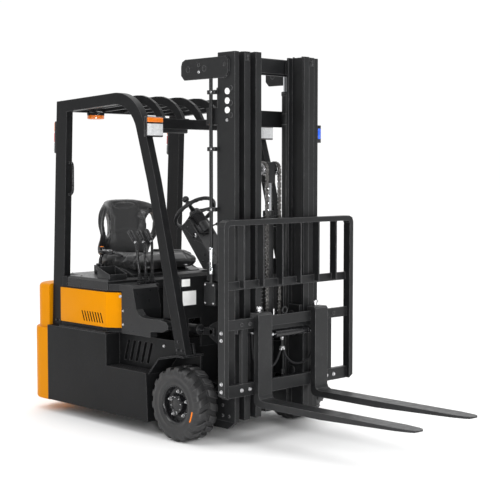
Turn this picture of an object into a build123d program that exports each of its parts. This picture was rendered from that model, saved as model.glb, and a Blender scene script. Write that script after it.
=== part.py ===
from build123d import *
import os
from math import cos, radians, sin, sqrt

os.makedirs("parts", exist_ok=True)

# Driving dimensions of the truck, in millimetres
WHEELBASE = 1085
REAR_OVERHANG = 285
LOAD_DISTANCE = 410
FORK_LENGTH = 1023
TYRE_D = 406
TYRE_W = 152
TRACK = 856
REAR_TYRE_D = 343
REAR_TYRE_W = 114
REAR_TYRE_GAP = 62
BODY_W = 1004
GROUND_CLEARANCE = 75
STEP_Z = 345
STEP_DEPTH = 99
DECK_Z = 528
HOOD_Z = 835
COWL_Z = 895
GUARD_Z = 1893
MAST_TOP_Z = 2078
MAST_W = 642
FORK_TOP_Z = 250
FORK_W = 100
FORK_T = 35
FORK_SPREAD = 440
CARRIAGE_H = 407
BACKREST_Z = 1204
BACKREST_W = 1004
FIT = 0.3
CLEAR = 6

# Stations derived from the driving dimensions
AXLE_X = (REAR_OVERHANG + WHEELBASE - LOAD_DISTANCE - FORK_LENGTH) / 2
AXLE_Z = TYRE_D / 2
REAR_X = AXLE_X - WHEELBASE - REAR_OVERHANG
STEER_X = AXLE_X - WHEELBASE
FORK_FACE_X = AXLE_X + LOAD_DISTANCE
FORK_TIP_X = FORK_FACE_X + FORK_LENGTH
HALF = BODY_W / 2
INNER = HALF - STEP_DEPTH
PIVOT_X = AXLE_X + 95
PIVOT_Z = 170
PIVOT_R = 20
TILT_Z = PIVOT_Z + 420
TILT_PIN_R = 13
FLAT_12 = cos(radians(15))


def block(x0, x1, y0, y1, z0, z1, mode=Mode.ADD):
    # Straight block between two corners, given in any order across the truck
    with Locations(((x0 + x1) / 2, (y0 + y1) / 2, (z0 + z1) / 2)):
        Box(abs(x1 - x0), abs(y1 - y0), abs(z1 - z0), mode=mode)


def bar(plane, r, length, sides, mode):
    # Bar drawn on a plane: truly round where sides is 0, otherwise with a regular section
    with BuildSketch(plane) as shape:
        if sides:
            RegularPolygon(r, sides)
        else:
            Circle(r)
    extrude(shape.sketch, amount=length, mode=mode)


def rod_y(x, y0, y1, z, r, mode=Mode.ADD, sides=16):
    # Bar lying across the truck
    plane = Plane(origin=(x, min(y0, y1), z), x_dir=(1, 0, 0), z_dir=(0, 1, 0))
    bar(plane, r, abs(y1 - y0), sides, mode)


def rod_x(x0, x1, y, z, r, mode=Mode.ADD, sides=12):
    # Bar lying along the truck
    bar(Plane(origin=(x0, y, z), x_dir=(0, 1, 0), z_dir=(1, 0, 0)), r, x1 - x0, sides, mode)


def rod_z(x, y, z0, z1, r, mode=Mode.ADD, sides=12):
    # Upright bar
    bar(Plane(origin=(x, y, z0), x_dir=(1, 0, 0), z_dir=(0, 0, 1)), r, z1 - z0, sides, mode)


def prism_between(start, end, r, sides):
    # Bar with a regular section between two points
    with BuildSketch(Plane(origin=start, z_dir=end - start)) as shape:
        RegularPolygon(r, sides)
    extrude(shape.sketch, amount=(end - start).length)


def plate(plane, points, thickness, mode=Mode.ADD):
    # Flat outline drawn on a plane and given a thickness
    with BuildSketch(plane) as shape:
        with BuildLine():
            Polyline(*points, close=True)
        make_face()
    extrude(shape.sketch, amount=thickness, mode=mode)


def side_plate(points, y0, y1, mode=Mode.ADD):
    # Outline seen from the side, given a width across the truck
    plate(Plane.XZ.offset(-max(y0, y1)), points, abs(y1 - y0), mode)


def front_plate(points, x0, x1, mode=Mode.ADD):
    # Outline seen from the front, given a depth along the truck
    plate(Plane.YZ.offset(x0), points, x1 - x0, mode)


def top_plate(points, z0, z1, mode=Mode.ADD):
    # Outline seen from above, given a height
    plate(Plane.XY.offset(z0), points, z1 - z0, mode)


def tyre_ring(x, y, z, width, r_out, r_in, shoulder):
    # Tyre body with many flats, its shoulders cut back on both sides
    with BuildPart() as ring:
        rod_y(x, y - width / 2, y + width / 2, z, r_out, sides=RING_FLATS)
        rims = ring.faces().filter_by(Axis.Y).edges()
        chamfer(rims, shoulder)
        rod_y(x, y - width, y + width, z, r_in, mode=Mode.SUBTRACT, sides=RING_FLATS)
    return ring.part


# Front tyres: ring with staggered slanting lugs out to the full diameter
RING_FLATS = 20
LUG_COUNT = 18
LUG_H = 13
LUG_W = 42
LUG_SKEW = 24
RIM_R = 104
RING_R = AXLE_Z - LUG_H


def tread_lug(y, row):
    # One lug at the crown of the tyre, slanting from the middle to the shoulder
    run = TYRE_W / 2 - 11
    crown = sqrt(AXLE_Z**2 - ((LUG_W + LUG_SKEW) / 2)**2)
    with BuildPart() as lug:
        with BuildSketch(Plane(origin=(AXLE_X, y + row * 9, AXLE_Z), x_dir=(1, 0, 0), z_dir=(0, row, 0))) as foot:
            with Locations((-LUG_SKEW / 2, -row * (RING_R - 8 + crown) / 2)):
                Rectangle(LUG_W, crown - RING_R + 8)
        extrude(foot.sketch, amount=run, dir=(LUG_SKEW, row * run, 0))
    return lug.part


def front_tyre(side):
    y = side * TRACK / 2
    axle = Axis((AXLE_X, y, AXLE_Z), (0, 1, 0))
    with BuildPart() as tyre:
        add(tyre_ring(AXLE_X, y, AXLE_Z, TYRE_W, RING_R, RIM_R + FIT, 14))
        for row in (-1, 1):
            lug = tread_lug(y, row)
            add([lug.rotate(axle, 360 * (n + (0.5 if row > 0 else 0)) / LUG_COUNT) for n in range(LUG_COUNT)])
    return tyre


def front_rim(side):
    y = side * TRACK / 2
    half = TYRE_W / 2
    with BuildPart() as rim:
        rod_y(AXLE_X, y - half + 8, y + half - 8, AXLE_Z, RIM_R, sides=RING_FLATS)
        rod_y(AXLE_X, y - half, y + side * 20 - 7, AXLE_Z, RIM_R - 14, mode=Mode.SUBTRACT, sides=16)
        rod_y(AXLE_X, y + side * 20 + 7, y + half, AXLE_Z, RIM_R - 14, mode=Mode.SUBTRACT, sides=16)
        rod_y(AXLE_X, y + side * 20, y + side * 62, AXLE_Z, 46, sides=12)
        for n in range(5):
            a = radians(72 * n + 18)
            rod_y(AXLE_X + 66 * cos(a), y + side * 20, y + side * 46, AXLE_Z + 66 * sin(a), 13, sides=6)
        rod_y(AXLE_X, y - side * half, y + side * 52, AXLE_Z, 30 + FIT, mode=Mode.SUBTRACT, sides=0)
    return rim


front_tyre_right = front_tyre(-1)
front_tyre_left = front_tyre(1)
front_rim_right = front_rim(-1)
front_rim_left = front_rim(1)

# Drive axle with hub stubs and the lugs that carry the mast
with BuildPart() as drive_axle:
    rod_y(AXLE_X, -TRACK / 2 + 84, TRACK / 2 - 84, AXLE_Z, 52)
    rod_y(AXLE_X, -210, 210, AXLE_Z, 84, sides=16)
    block(AXLE_X - 120, AXLE_X, -150, 150, AXLE_Z - 60, AXLE_Z + 70)
    for side in (-1, 1):
        rod_y(AXLE_X, side * (TRACK / 2 - 84), side * (TRACK / 2 + 50), AXLE_Z, 30)
        y_lug = side * (MAST_W / 2 + 6)
        side_plate([
            (AXLE_X - 20, AXLE_Z - 50),
            (PIVOT_X - 10, PIVOT_Z - 34),
            (PIVOT_X + 24, PIVOT_Z - 24),
            (PIVOT_X + 24, PIVOT_Z + 26),
            (PIVOT_X - 10, PIVOT_Z + 36),
            (AXLE_X - 20, AXLE_Z + 56),
        ], y_lug - 8, y_lug + 8)
        rod_y(PIVOT_X, side * (MAST_W / 2 - 36), y_lug, PIVOT_Z, PIVOT_R, sides=0)

# Rear steer unit: turntable, leg between the wheels and stub axles
REAR_Z = REAR_TYRE_D / 2
REAR_Y = (REAR_TYRE_GAP + REAR_TYRE_W) / 2
POCKET_R = 246
POCKET_Z = 372
with BuildPart() as steer_yoke:
    rod_z(STEER_X, 0, POCKET_Z + 8, POCKET_Z + 44, 120, sides=20)
    rod_z(STEER_X, 0, POCKET_Z + 44, POCKET_Z + 120, 40, sides=0)
    block(STEER_X - 70, STEER_X + 70, -70, 70, REAR_TYRE_D + 8, POCKET_Z + 8)
    block(STEER_X - 40, STEER_X + 40, -22, 22, REAR_Z - 50, REAR_TYRE_D + 12)
    rod_y(STEER_X, -REAR_Y - 20, REAR_Y + 20, REAR_Z, 24, sides=0)

REAR_RIM_R = 100
with BuildPart() as rear_tyres:
    for side in (-1, 1):
        add(tyre_ring(STEER_X, side * REAR_Y, REAR_Z, REAR_TYRE_W, REAR_Z, REAR_RIM_R + FIT, 14))

with BuildPart() as rear_rims:
    for side in (-1, 1):
        half = REAR_TYRE_W / 2 - 10
        y = side * REAR_Y
        rod_y(STEER_X, y - half, y + half, REAR_Z, REAR_RIM_R, sides=RING_FLATS)
        rod_y(STEER_X, y - half - 1, y - 8, REAR_Z, REAR_RIM_R - 14, mode=Mode.SUBTRACT, sides=16)
        rod_y(STEER_X, y + 8, y + half + 1, REAR_Z, REAR_RIM_R - 14, mode=Mode.SUBTRACT, sides=16)
        rod_y(STEER_X, y - 30, y + 30, REAR_Z, 44, sides=8)
        rod_y(STEER_X, 0, side * (REAR_Y + 24), REAR_Z, (24 + FIT) / FLAT_12, mode=Mode.SUBTRACT,
              sides=12)

# Chassis: two skirts, inner walls with slanting louvres, floor pan and wheel arches
SKIRT_REAR_X = STEER_X - 80
STEP_REAR_X = AXLE_X - 590
ARCH_REAR_X = AXLE_X - 236
WALL = 12
POCKET_FRONT_X = STEER_X + POCKET_R + 16
LOUVRES = 5
with BuildPart() as chassis_frame:
    for side in (-1, 1):
        y_in = side * INNER
        y_out = side * HALF
        side_plate([
            (SKIRT_REAR_X, GROUND_CLEARANCE),
            (ARCH_REAR_X + 14, GROUND_CLEARANCE),
            (ARCH_REAR_X, STEP_Z),
            (STEP_REAR_X, STEP_Z),
            (STEP_REAR_X, DECK_Z),
            (SKIRT_REAR_X, DECK_Z),
        ], y_in, y_out)
        block(SKIRT_REAR_X + 40, ARCH_REAR_X - WALL, y_in + side * WALL, y_out - side * WALL,
              GROUND_CLEARANCE - 1, STEP_Z - WALL, mode=Mode.SUBTRACT)
        side_plate([
            (POCKET_FRONT_X, GROUND_CLEARANCE),
            (ARCH_REAR_X, GROUND_CLEARANCE),
            (ARCH_REAR_X, STEP_Z),
            (AXLE_X - 150, 436),
            (AXLE_X, 468),
            (AXLE_X + 53, 468),
            (AXLE_X + 40, DECK_Z),
            (POCKET_FRONT_X, DECK_Z),
        ], y_in, y_in - side * WALL)
        for n in range(LOUVRES):
            x = AXLE_X - 550 + n * 50
            side_plate([(x, 376), (x + 22, 376), (x + 58, 496), (x + 36, 496)],
                       y_in + side, y_in - side * (WALL + 1), mode=Mode.SUBTRACT)
        side_plate([
            (ARCH_REAR_X, STEP_Z - 8),
            (AXLE_X - 150, 428),
            (AXLE_X, 458),
            (AXLE_X + 53, 458),
            (AXLE_X + 53, 468),
            (AXLE_X, 468),
            (AXLE_X - 150, 438),
            (ARCH_REAR_X, STEP_Z + 4),
        ], side * (MAST_W / 2 + 14), side * HALF * 0.96)
        side_plate([
            (ARCH_REAR_X, GROUND_CLEARANCE + 40),
            (AXLE_X - 66, GROUND_CLEARANCE + 40),
            (AXLE_X - 66, AXLE_Z + 66),
            (AXLE_X + 40, AXLE_Z + 66),
            (AXLE_X + 40, 458),
            (ARCH_REAR_X, 458),
        ], side * (MAST_W / 2 + 14), side * (MAST_W / 2 + 24))
    block(POCKET_FRONT_X, ARCH_REAR_X, -INNER + WALL, INNER - WALL, GROUND_CLEARANCE, GROUND_CLEARANCE + 16)
    block(ARCH_REAR_X - 16, ARCH_REAR_X, -INNER + WALL, INNER - WALL, GROUND_CLEARANCE, DECK_Z - 20)
    block(POCKET_FRONT_X, POCKET_FRONT_X + 16, -INNER + WALL, INNER - WALL, GROUND_CLEARANCE, DECK_Z)
    block(ARCH_REAR_X, AXLE_X - 120 - FIT, -MAST_W / 2 - 14, MAST_W / 2 + 14, AXLE_Z - 40, AXLE_Z + 40)

# Floor plate with its rising toe board
FLOOR_T = 8
HOOD_FRONT_X = AXLE_X - 500
COWL_FRONT_X = AXLE_X - 62
COWL_REAR_X = AXLE_X - 200
COWL_BOTTOM_Z = 640
with BuildPart() as floor_plate:
    side_plate([
        (HOOD_FRONT_X - 30, DECK_Z),
        (AXLE_X - 330, DECK_Z),
        (COWL_REAR_X, COWL_BOTTOM_Z),
        (COWL_REAR_X, COWL_BOTTOM_Z + FLOOR_T),
        (AXLE_X - 334, DECK_Z + FLOOR_T),
        (HOOD_FRONT_X - 30, DECK_Z + FLOOR_T),
    ], -INNER, INNER)

# Counterweight: heavy lower block, slimmer upper block, pocket for the steered wheels
CW_TOP_Z = 775
CW_LEDGE_Z = 510
TOW_X = REAR_X + 70
TOW_R = 14


def rounded_tail(x_front, x_rear, half, corner, z0, z1):
    # Block whose two rear corners are turned in five flats each
    bend = [(corner * (1 - cos(radians(18 * n))), corner * (1 - sin(radians(18 * n)))) for n in range(6)]
    right = [(x_rear + b, -half + a) for a, b in bend]
    left = [(x, -y) for x, y in reversed(right)]
    top_plate([(x_front, -half), *right, *left, (x_front, half)], z0, z1)


with BuildPart() as counterweight:
    rounded_tail(SKIRT_REAR_X - FIT, REAR_X + 18, HALF - 16, 124, CW_LEDGE_Z - 20, CW_TOP_Z)
    crown = counterweight.faces().sort_by(Axis.Z)[-1].edges()
    chamfer(crown.filter_by(lambda e: e.center().X < SKIRT_REAR_X - 20), 18)
    rounded_tail(SKIRT_REAR_X - FIT, REAR_X, HALF, 130, GROUND_CLEARANCE - 6, CW_LEDGE_Z)
    block(SKIRT_REAR_X - FIT, POCKET_FRONT_X - FIT, -INNER + FIT, INNER - FIT, POCKET_Z - 60, DECK_Z)
    rod_z(STEER_X, 0, 0, POCKET_Z, POCKET_R + 3, mode=Mode.SUBTRACT, sides=32)
    rod_z(STEER_X, 0, POCKET_Z - 1, POCKET_Z + 50, 130, mode=Mode.SUBTRACT, sides=20)
    rod_z(STEER_X, 0, POCKET_Z + 49, POCKET_Z + 126, 42 + FIT, mode=Mode.SUBTRACT, sides=24)
    rod_z(TOW_X, 0, GROUND_CLEARANCE + 200, CW_TOP_Z + 1, TOW_R, mode=Mode.SUBTRACT, sides=0)
    block(REAR_X - 1, REAR_X + 120, -60, 60, 300, 380, mode=Mode.SUBTRACT)

with BuildPart() as battery_block:
    block(AXLE_X - 800, AXLE_X - 545, -370, 370, GROUND_CLEARANCE + 16, HOOD_Z - 90)

# Yellow side panels under the hood, each with a row of small slanting vents
PANEL_Z0 = 562
PANEL_Z1 = 764
VENTS = 11
with BuildPart() as side_panels:
    for side in (-1, 1):
        top_plate([
            (AXLE_X - 1046, side * (HALF - 14)),
            (AXLE_X - 606, side * (HALF - 14)),
            (AXLE_X - 520, side * (HALF - 74)),
            (AXLE_X - 520, side * (HALF - 84)),
            (AXLE_X - 610, side * (HALF - 24)),
            (AXLE_X - 1046, side * (HALF - 24)),
        ], PANEL_Z0, PANEL_Z1)
        for n in range(VENTS):
            x = AXLE_X - 838 + n * 18
            side_plate([(x, 584), (x + 8, 584), (x + 24, 642), (x + 16, 642)],
                       side * (HALF - 13), side * (HALF - 25), mode=Mode.SUBTRACT)

# Body shell under the hood: carries the panels, the hood hinge and the seat load
SHELL_Z = HOOD_Z - 60 - FIT
with BuildPart() as body_shell:
    for side in (-1, 1):
        block(AXLE_X - 1046, AXLE_X - 612, side * (HALF - 24), side * (HALF - 36), DECK_Z, SHELL_Z)
        top_plate([
            (AXLE_X - 612, side * (HALF - 24)),
            (AXLE_X - 520, side * (HALF - 86)),
            (AXLE_X - 520, side * (HALF - 98)),
            (AXLE_X - 612, side * (HALF - 36)),
        ], DECK_Z + FLOOR_T, SHELL_Z)
        block(AXLE_X - 1046, AXLE_X - 600, side * (HALF - 90), side * HALF, DECK_Z, DECK_Z + 10)
        block(AXLE_X - 1036, AXLE_X - 992, side * (HALF - 88), side * (HALF - 24), HOOD_Z - 80, HOOD_Z - 4)
    block(HOOD_FRONT_X - 20, HOOD_FRONT_X - 8, -HALF + 98, HALF - 98, DECK_Z + FLOOR_T, SHELL_Z)

# Hood lid, cut back at the right front corner where the control console stands
HINGE_X = AXLE_X - 1130
HINGE_Z = HOOD_Z - 14
CORNER_X = AXLE_X - 603
CORNER_Y = -235
with BuildPart() as hood_lid:
    top_plate([
        (AXLE_X - 1136, -HALF + 94),
        (AXLE_X - 986, -HALF + 94),
        (AXLE_X - 986, -HALF + 24),
        (CORNER_X, -HALF + 24),
        (CORNER_X, CORNER_Y),
        (HOOD_FRONT_X, CORNER_Y),
        (HOOD_FRONT_X, HALF - 110),
        (AXLE_X - 612, HALF - 24),
        (AXLE_X - 986, HALF - 24),
        (AXLE_X - 986, HALF - 94),
        (AXLE_X - 1136, HALF - 94),
    ], HOOD_Z - 60, HOOD_Z)
    chamfer(hood_lid.faces().sort_by(Axis.Z)[-1].edges(), 12)
    block(AXLE_X - 1090, CORNER_X - 20, -HALF + 120, HALF - 120, HOOD_Z - 61, HOOD_Z - 18, mode=Mode.SUBTRACT)
    rod_y(HINGE_X, -HALF + 93, HALF - 93, HINGE_Z, 4, mode=Mode.SUBTRACT, sides=0)

with BuildPart() as seat_base:
    side_plate([
        (AXLE_X - 1010, HOOD_Z),
        (AXLE_X - 640, HOOD_Z),
        (AXLE_X - 640, 850),
        (AXLE_X - 740, 880),
        (AXLE_X - 1010, 880),
    ], -262, 262)

# Seat: cushion with raised sides, backrest with wings, two grip openings and a head recess
SEAT_W = 472
with BuildPart() as seat_cushion:
    half = SEAT_W / 2
    side_plate([
        (AXLE_X - 1010, 880),
        (AXLE_X - 650, 880),
        (AXLE_X - 620, 900),
        (AXLE_X - 615, 924),
        (AXLE_X - 640, 948),
        (AXLE_X - 1000, 936),
    ], -half, half)
    for side in (-1, 1):
        side_plate([
            (AXLE_X - 990, 900),
            (AXLE_X - 660, 900),
            (AXLE_X - 645, 930),
            (AXLE_X - 670, 962),
            (AXLE_X - 990, 954),
        ], side * half, side * (half - 84))

with BuildPart() as seat_backrest:
    half = SEAT_W / 2
    leaning = Plane(origin=(AXLE_X - 1016, 0, 890), x_dir=(0, 1, 0), z_dir=(1, 0, 0.06))
    plate(leaning, [
        (-half + 50, 14),
        (half - 50, 14),
        (half - 16, 120),
        (half, 250),
        (half - 12, 330),
        (half - 70, 388),
        (0, 404),
        (-half + 70, 388),
        (-half + 12, 330),
        (-half, 250),
        (-half + 16, 120),
    ], -66)
    for side in (-1, 1):
        plate(leaning, [
            (side * (half - 92), 90),
            (side * (half - 20), 130),
            (side * (half - 4), 250),
            (side * (half - 40), 340),
            (side * (half - 110), 380),
            (side * (half - 104), 230),
        ], 34)
        plate(leaning.offset(-70), [
            (side * (half - 80), 168),
            (side * (half - 52), 176),
            (side * (half - 34), 214),
            (side * (half - 36), 262),
            (side * (half - 58), 290),
            (side * (half - 82), 270),
        ], 110, mode=Mode.SUBTRACT)
    plate(leaning.offset(-8), [(-86, 340), (86, 340), (60, 366), (-60, 366)], 20, mode=Mode.SUBTRACT)

# Front cowl, open at the back towards the driver
with BuildPart() as front_cowl:
    block(COWL_REAR_X, COWL_FRONT_X, -INNER, INNER, COWL_BOTTOM_Z + FLOOR_T, COWL_Z)
    block(COWL_REAR_X - 1, COWL_FRONT_X - 10, -INNER + 10, INNER - 10, COWL_BOTTOM_Z, COWL_Z - 10,
          mode=Mode.SUBTRACT)
    chamfer(front_cowl.edges().filter_by(Axis.Y).sort_by_distance((COWL_FRONT_X, 0, COWL_Z))[0], 16)
    block(COWL_FRONT_X - 10, COWL_FRONT_X, -250, 250, DECK_Z - 40, COWL_BOTTOM_Z + FLOOR_T)
    for side in (-1, 1):
        block(COWL_FRONT_X - 10, COWL_FRONT_X, side * 340, side * INNER, DECK_Z, COWL_BOTTOM_Z + FLOOR_T)
    block(COWL_FRONT_X, COWL_FRONT_X + 2, -392, -330, 826, 868)
    block(COWL_FRONT_X, COWL_FRONT_X + 2, -386, -286, 722, 802)

# Right control console: post beside the footwell, foot lobe and lever deck
CONSOLE_Y = -452
CONSOLE_Z = 812
with BuildPart() as side_console:
    rear = HOOD_FRONT_X - 8 + FIT
    side_plate([
        (rear, DECK_Z + FLOOR_T),
        (AXLE_X - 256, DECK_Z + FLOOR_T),
        (AXLE_X - 256, 568),
        (AXLE_X - 150, 575),
        (AXLE_X - 112, 592),
        (AXLE_X - 105, 612),
        (AXLE_X - 122, 632),
        (AXLE_X - 200, 640),
        (AXLE_X - 315, 640),
        (AXLE_X - 352, 650),
        (AXLE_X - 378, 680),
        (AXLE_X - 408, 795),
        (AXLE_X - 430, CONSOLE_Z),
        (rear, CONSOLE_Z),
    ], CONSOLE_Y, -INNER)
    side_plate([
        (rear, DECK_Z + FLOOR_T),
        (AXLE_X - 392, DECK_Z + FLOOR_T),
        (AXLE_X - 378, 680),
        (AXLE_X - 408, 795),
        (AXLE_X - 430, CONSOLE_Z),
        (rear, CONSOLE_Z),
    ], -INNER, -270)
    top_plate([
        (CORNER_X + CLEAR, CORNER_Y - CLEAR),
        (AXLE_X - 430, CORNER_Y - CLEAR),
        (AXLE_X - 430, CONSOLE_Y),
        (AXLE_X - 530, CONSOLE_Y),
        (CORNER_X + CLEAR, -HALF + 28),
    ], HOOD_Z - 60, CONSOLE_Z)

# Three goose-necked levers and the two pedals
with BuildPart() as driver_controls:
    for y_base, y_neck, y_top in ((-345, -356, -360), (-302, -288, -284), (-259, -220, -212)):
        foot = Vector(AXLE_X - 470, y_base, CONSOLE_Z + 6)
        neck = Vector(AXLE_X - 497, y_neck, 1042)
        top = Vector(AXLE_X - 556, y_top, 1118)
        block(foot.X - 16, foot.X + 16, y_base - 14, y_base + 14, CONSOLE_Z + FIT, CONSOLE_Z + 16)
        prism_between(foot, neck, 8, 6)
        prism_between(neck + (foot - neck) * 0.04, top, 12, 6)
    for y in (-150, 20):
        side_plate([
            (AXLE_X - 300, 564.6),
            (AXLE_X - 220, 638.6),
            (AXLE_X - 226, 652),
            (AXLE_X - 306, 580),
        ], y - 45, y + 45)

# Steering column: wide cover with a sloping display face, and the wheel on its head
WHEEL_HUB = Vector(AXLE_X - 387, 0, 1211)
STEER_AXIS = Vector(-0.69, 0, 0.724).normalized()
STEER_R = 138
with BuildPart() as steering_column:
    side_plate([
        (AXLE_X - 238, COWL_Z + FIT),
        (AXLE_X - 110, COWL_Z + FIT),
        (AXLE_X - 249, 1056),
        (AXLE_X - 352, 1172),
        (AXLE_X - 372, 1176),
        (AXLE_X - 404, 1150),
        (AXLE_X - 429, 1122),
    ], -72, 72)
    head = WHEEL_HUB - STEER_AXIS * 150
    with BuildSketch(Plane(origin=head, z_dir=STEER_AXIS)):
        RegularPolygon(34, 16)
    extrude(amount=120)
    with BuildSketch(Plane(origin=head, z_dir=STEER_AXIS)):
        RegularPolygon(20, 12)
    extrude(amount=150 - 18 - FIT)

wheel_plane = Plane(origin=WHEEL_HUB, x_dir=(0, 1, 0), z_dir=STEER_AXIS)
KNOB_TURN = 218
with BuildPart() as steering_wheel:
    with BuildSketch(wheel_plane.offset(-18)):
        Circle(34)
    extrude(amount=34)
    with BuildSketch(wheel_plane.offset(-11)):
        RegularPolygon(STEER_R, 24)
        RegularPolygon(STEER_R - 24, 24, mode=Mode.SUBTRACT)
    extrude(amount=22)
    for n in range(3):
        with BuildSketch(wheel_plane.offset(-6)):
            with Locations(Rotation(0, 0, KNOB_TURN + 120 * n)):
                with Locations((STEER_R / 2, 0)):
                    Rectangle(STEER_R - 14, 26)
        extrude(amount=12)
    with BuildSketch(wheel_plane.offset(9)):
        with Locations(Rotation(0, 0, KNOB_TURN)):
            with Locations((STEER_R - 13, 0)):
                RegularPolygon(20, 12)
    extrude(amount=46)

# Overhead guard: two bent side frames joined by cross bars
GUARD_Y = 441
GUARD_W = 45
BEND_R = 262
KNEE = (AXLE_X - 346, GUARD_Z + 9)
KNEE_IN = (AXLE_X - 400, GUARD_Z - 57)
ROOF_REAR = (AXLE_X - 1098, GUARD_Z - 27)
PILLAR_MID = (AXLE_X - 192, 1406)
PILLAR_FOOT = (AXLE_X + 53, 468)
HEADER_X = AXLE_X - 288
with BuildPart() as overhead_guard:
    for side in (-1, 1):
        side_plate([
            PILLAR_FOOT,
            PILLAR_MID,
            KNEE,
            ROOF_REAR,
            (AXLE_X - 1164, DECK_Z),
            (AXLE_X - 1055, DECK_Z),
            (ROOF_REAR[0] + 98, ROOF_REAR[1] - 62),
            KNEE_IN,
            (PILLAR_MID[0] - 66, PILLAR_MID[1] - 16),
            (PILLAR_FOOT[0] - 74, PILLAR_FOOT[1]),
        ], side * GUARD_Y - GUARD_W / 2, side * GUARD_Y + GUARD_W / 2)
        for corner, radius in ((KNEE, BEND_R), (KNEE_IN, BEND_R - 62)):
            bends = overhead_guard.edges().filter_by(Axis.Y)
            fillet(bends.sort_by_distance((corner[0], side * GUARD_Y, corner[1]))[0], radius)
    block(HEADER_X - 42, HEADER_X, -GUARD_Y, GUARD_Y, 1690, 1745)
    block(ROOF_REAR[0] + 4, ROOF_REAR[0] + 54, -GUARD_Y, GUARD_Y, ROOF_REAR[1] - 60, ROOF_REAR[1] - 4)

# Roof bars that follow the bend of the side frames
BEND_X = AXLE_X - 536
BEND_Z = 1630
BAR_R = BEND_R - 6
BAR_H = 46
with BuildPart() as roof_bars:
    outside = [(BEND_X + BAR_R * cos(radians(a)), BEND_Z + BAR_R * sin(radians(a))) for a in (40, 54, 68, 82, 93)]
    inside = [(BEND_X + (BAR_R - BAR_H) * cos(radians(a)), BEND_Z + (BAR_R - BAR_H) * sin(radians(a)))
              for a in (93, 80, 66, 50)]
    for y in (-294, -147, 0, 147, 294):
        side_plate([
            (AXLE_X - 308, 1745 + FIT),
            *outside,
            (ROOF_REAR[0] + 54 + FIT, ROOF_REAR[1] - 6),
            (ROOF_REAR[0] + 54 + FIT, ROOF_REAR[1] - 6 - BAR_H),
            *inside,
            (AXLE_X - 360, 1745 + FIT),
        ], y - 9, y + 9)

# Grab handle on the right rear post and the mirror under the header
with BuildPart() as cab_fittings:
    side_plate([
        (AXLE_X - 1012, 1512),
        (AXLE_X - 1000, 1512),
        (AXLE_X - 984, 1488),
        (AXLE_X - 984, 1350),
        (AXLE_X - 1000, 1322),
        (AXLE_X - 1019.6, 1308),
        (AXLE_X - 1019, 1326),
        (AXLE_X - 1008, 1334),
        (AXLE_X - 999, 1354),
        (AXLE_X - 999, 1484),
        (AXLE_X - 1006, 1494),
        (AXLE_X - 1012.6, 1496),
    ], -GUARD_Y + 1, -GUARD_Y + 19)
    block(HEADER_X - 62, HEADER_X - 42 - FIT, -300, -100, 1668, 1732)

# Lamps on the header, tail lamps on the rear posts, and the beacon under the roof
with BuildPart() as front_lamps:
    for side in (-1, 1):
        block(HEADER_X + FIT, AXLE_X - 252, side * 380, side * 416, 1694, 1740)
        block(AXLE_X - 252, AXLE_X - 232, side * 370, side * 494, 1640, 1752)
        block(AXLE_X - 232, AXLE_X - 224, side * 378, side * 486, 1648, 1712)
        block(AXLE_X - 232, AXLE_X - 222, side * 378, side * 486, 1720, 1746)

with BuildPart() as rear_lamps:
    for side in (-1, 1):
        side_plate([
            (AXLE_X - 1113.4, 1560),
            (AXLE_X - 1104.2, 1750),
            (AXLE_X - 1128, 1750),
            (AXLE_X - 1138, 1742),
            (AXLE_X - 1142, 1566),
            (AXLE_X - 1136, 1560),
        ], side * 425, side * 460)
    with BuildSketch(Plane.XY.offset(1762)) as dome:
        with Locations((AXLE_X - 984, -262)):
            RegularPolygon(52, 20)
    extrude(dome.sketch, amount=50)
    block(AXLE_X - 998, AXLE_X - 970, -285 + FIT, -262, 1806, 1848)

# Mast: three nested pairs of channels, each stage a step further forward
RAIL_T = 14
RAIL_D = 130
RAIL_STEP = 20
OUTER_X = AXLE_X + 154
MIDDLE_X = OUTER_X + RAIL_STEP
INNER_X = MIDDLE_X + RAIL_STEP
OUTER_Y = (MAST_W / 2 - 31, MAST_W / 2)
MIDDLE_Y = (OUTER_Y[0] - 62, OUTER_Y[0] - 21)
INNER_Y = (MIDDLE_Y[0] - 63, MIDDLE_Y[0] - 22)
RAIL_Z0 = 120


def channel_pair(x0, span, z0, z1):
    # Two upright channels that open towards each other
    for side in (-1, 1):
        top_plate([
            (x0, side * span[0]),
            (x0, side * span[1]),
            (x0 + RAIL_D, side * span[1]),
            (x0 + RAIL_D, side * span[0]),
            (x0 + RAIL_D - RAIL_T, side * span[0]),
            (x0 + RAIL_D - RAIL_T, side * (span[1] - 12)),
            (x0 + RAIL_T, side * (span[1] - 12)),
            (x0 + RAIL_T, side * span[0]),
        ], z0, z1)


def runner_pair(x, web, roller, z):
    # Two rollers on stubs that run inside the next stage's channels
    for side in (-1, 1):
        rod_y(x, side * web, side * roller[1], z, 14, sides=6)
        rod_y(x, side * roller[0], side * roller[1], z, RAIL_D / 2 - RAIL_T - FIT, sides=12)


def bridge(x_back, x_rail, span, z0, z1):
    # Cross tie that stands off behind a pair of channels on two arms
    block(x_back, x_back + TIE_T, -span[1], span[1], z0, z1)
    for side in (-1, 1):
        block(x_back, x_rail + 3, side * (span[1] - 20), side * span[1], z0, z1)


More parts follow.
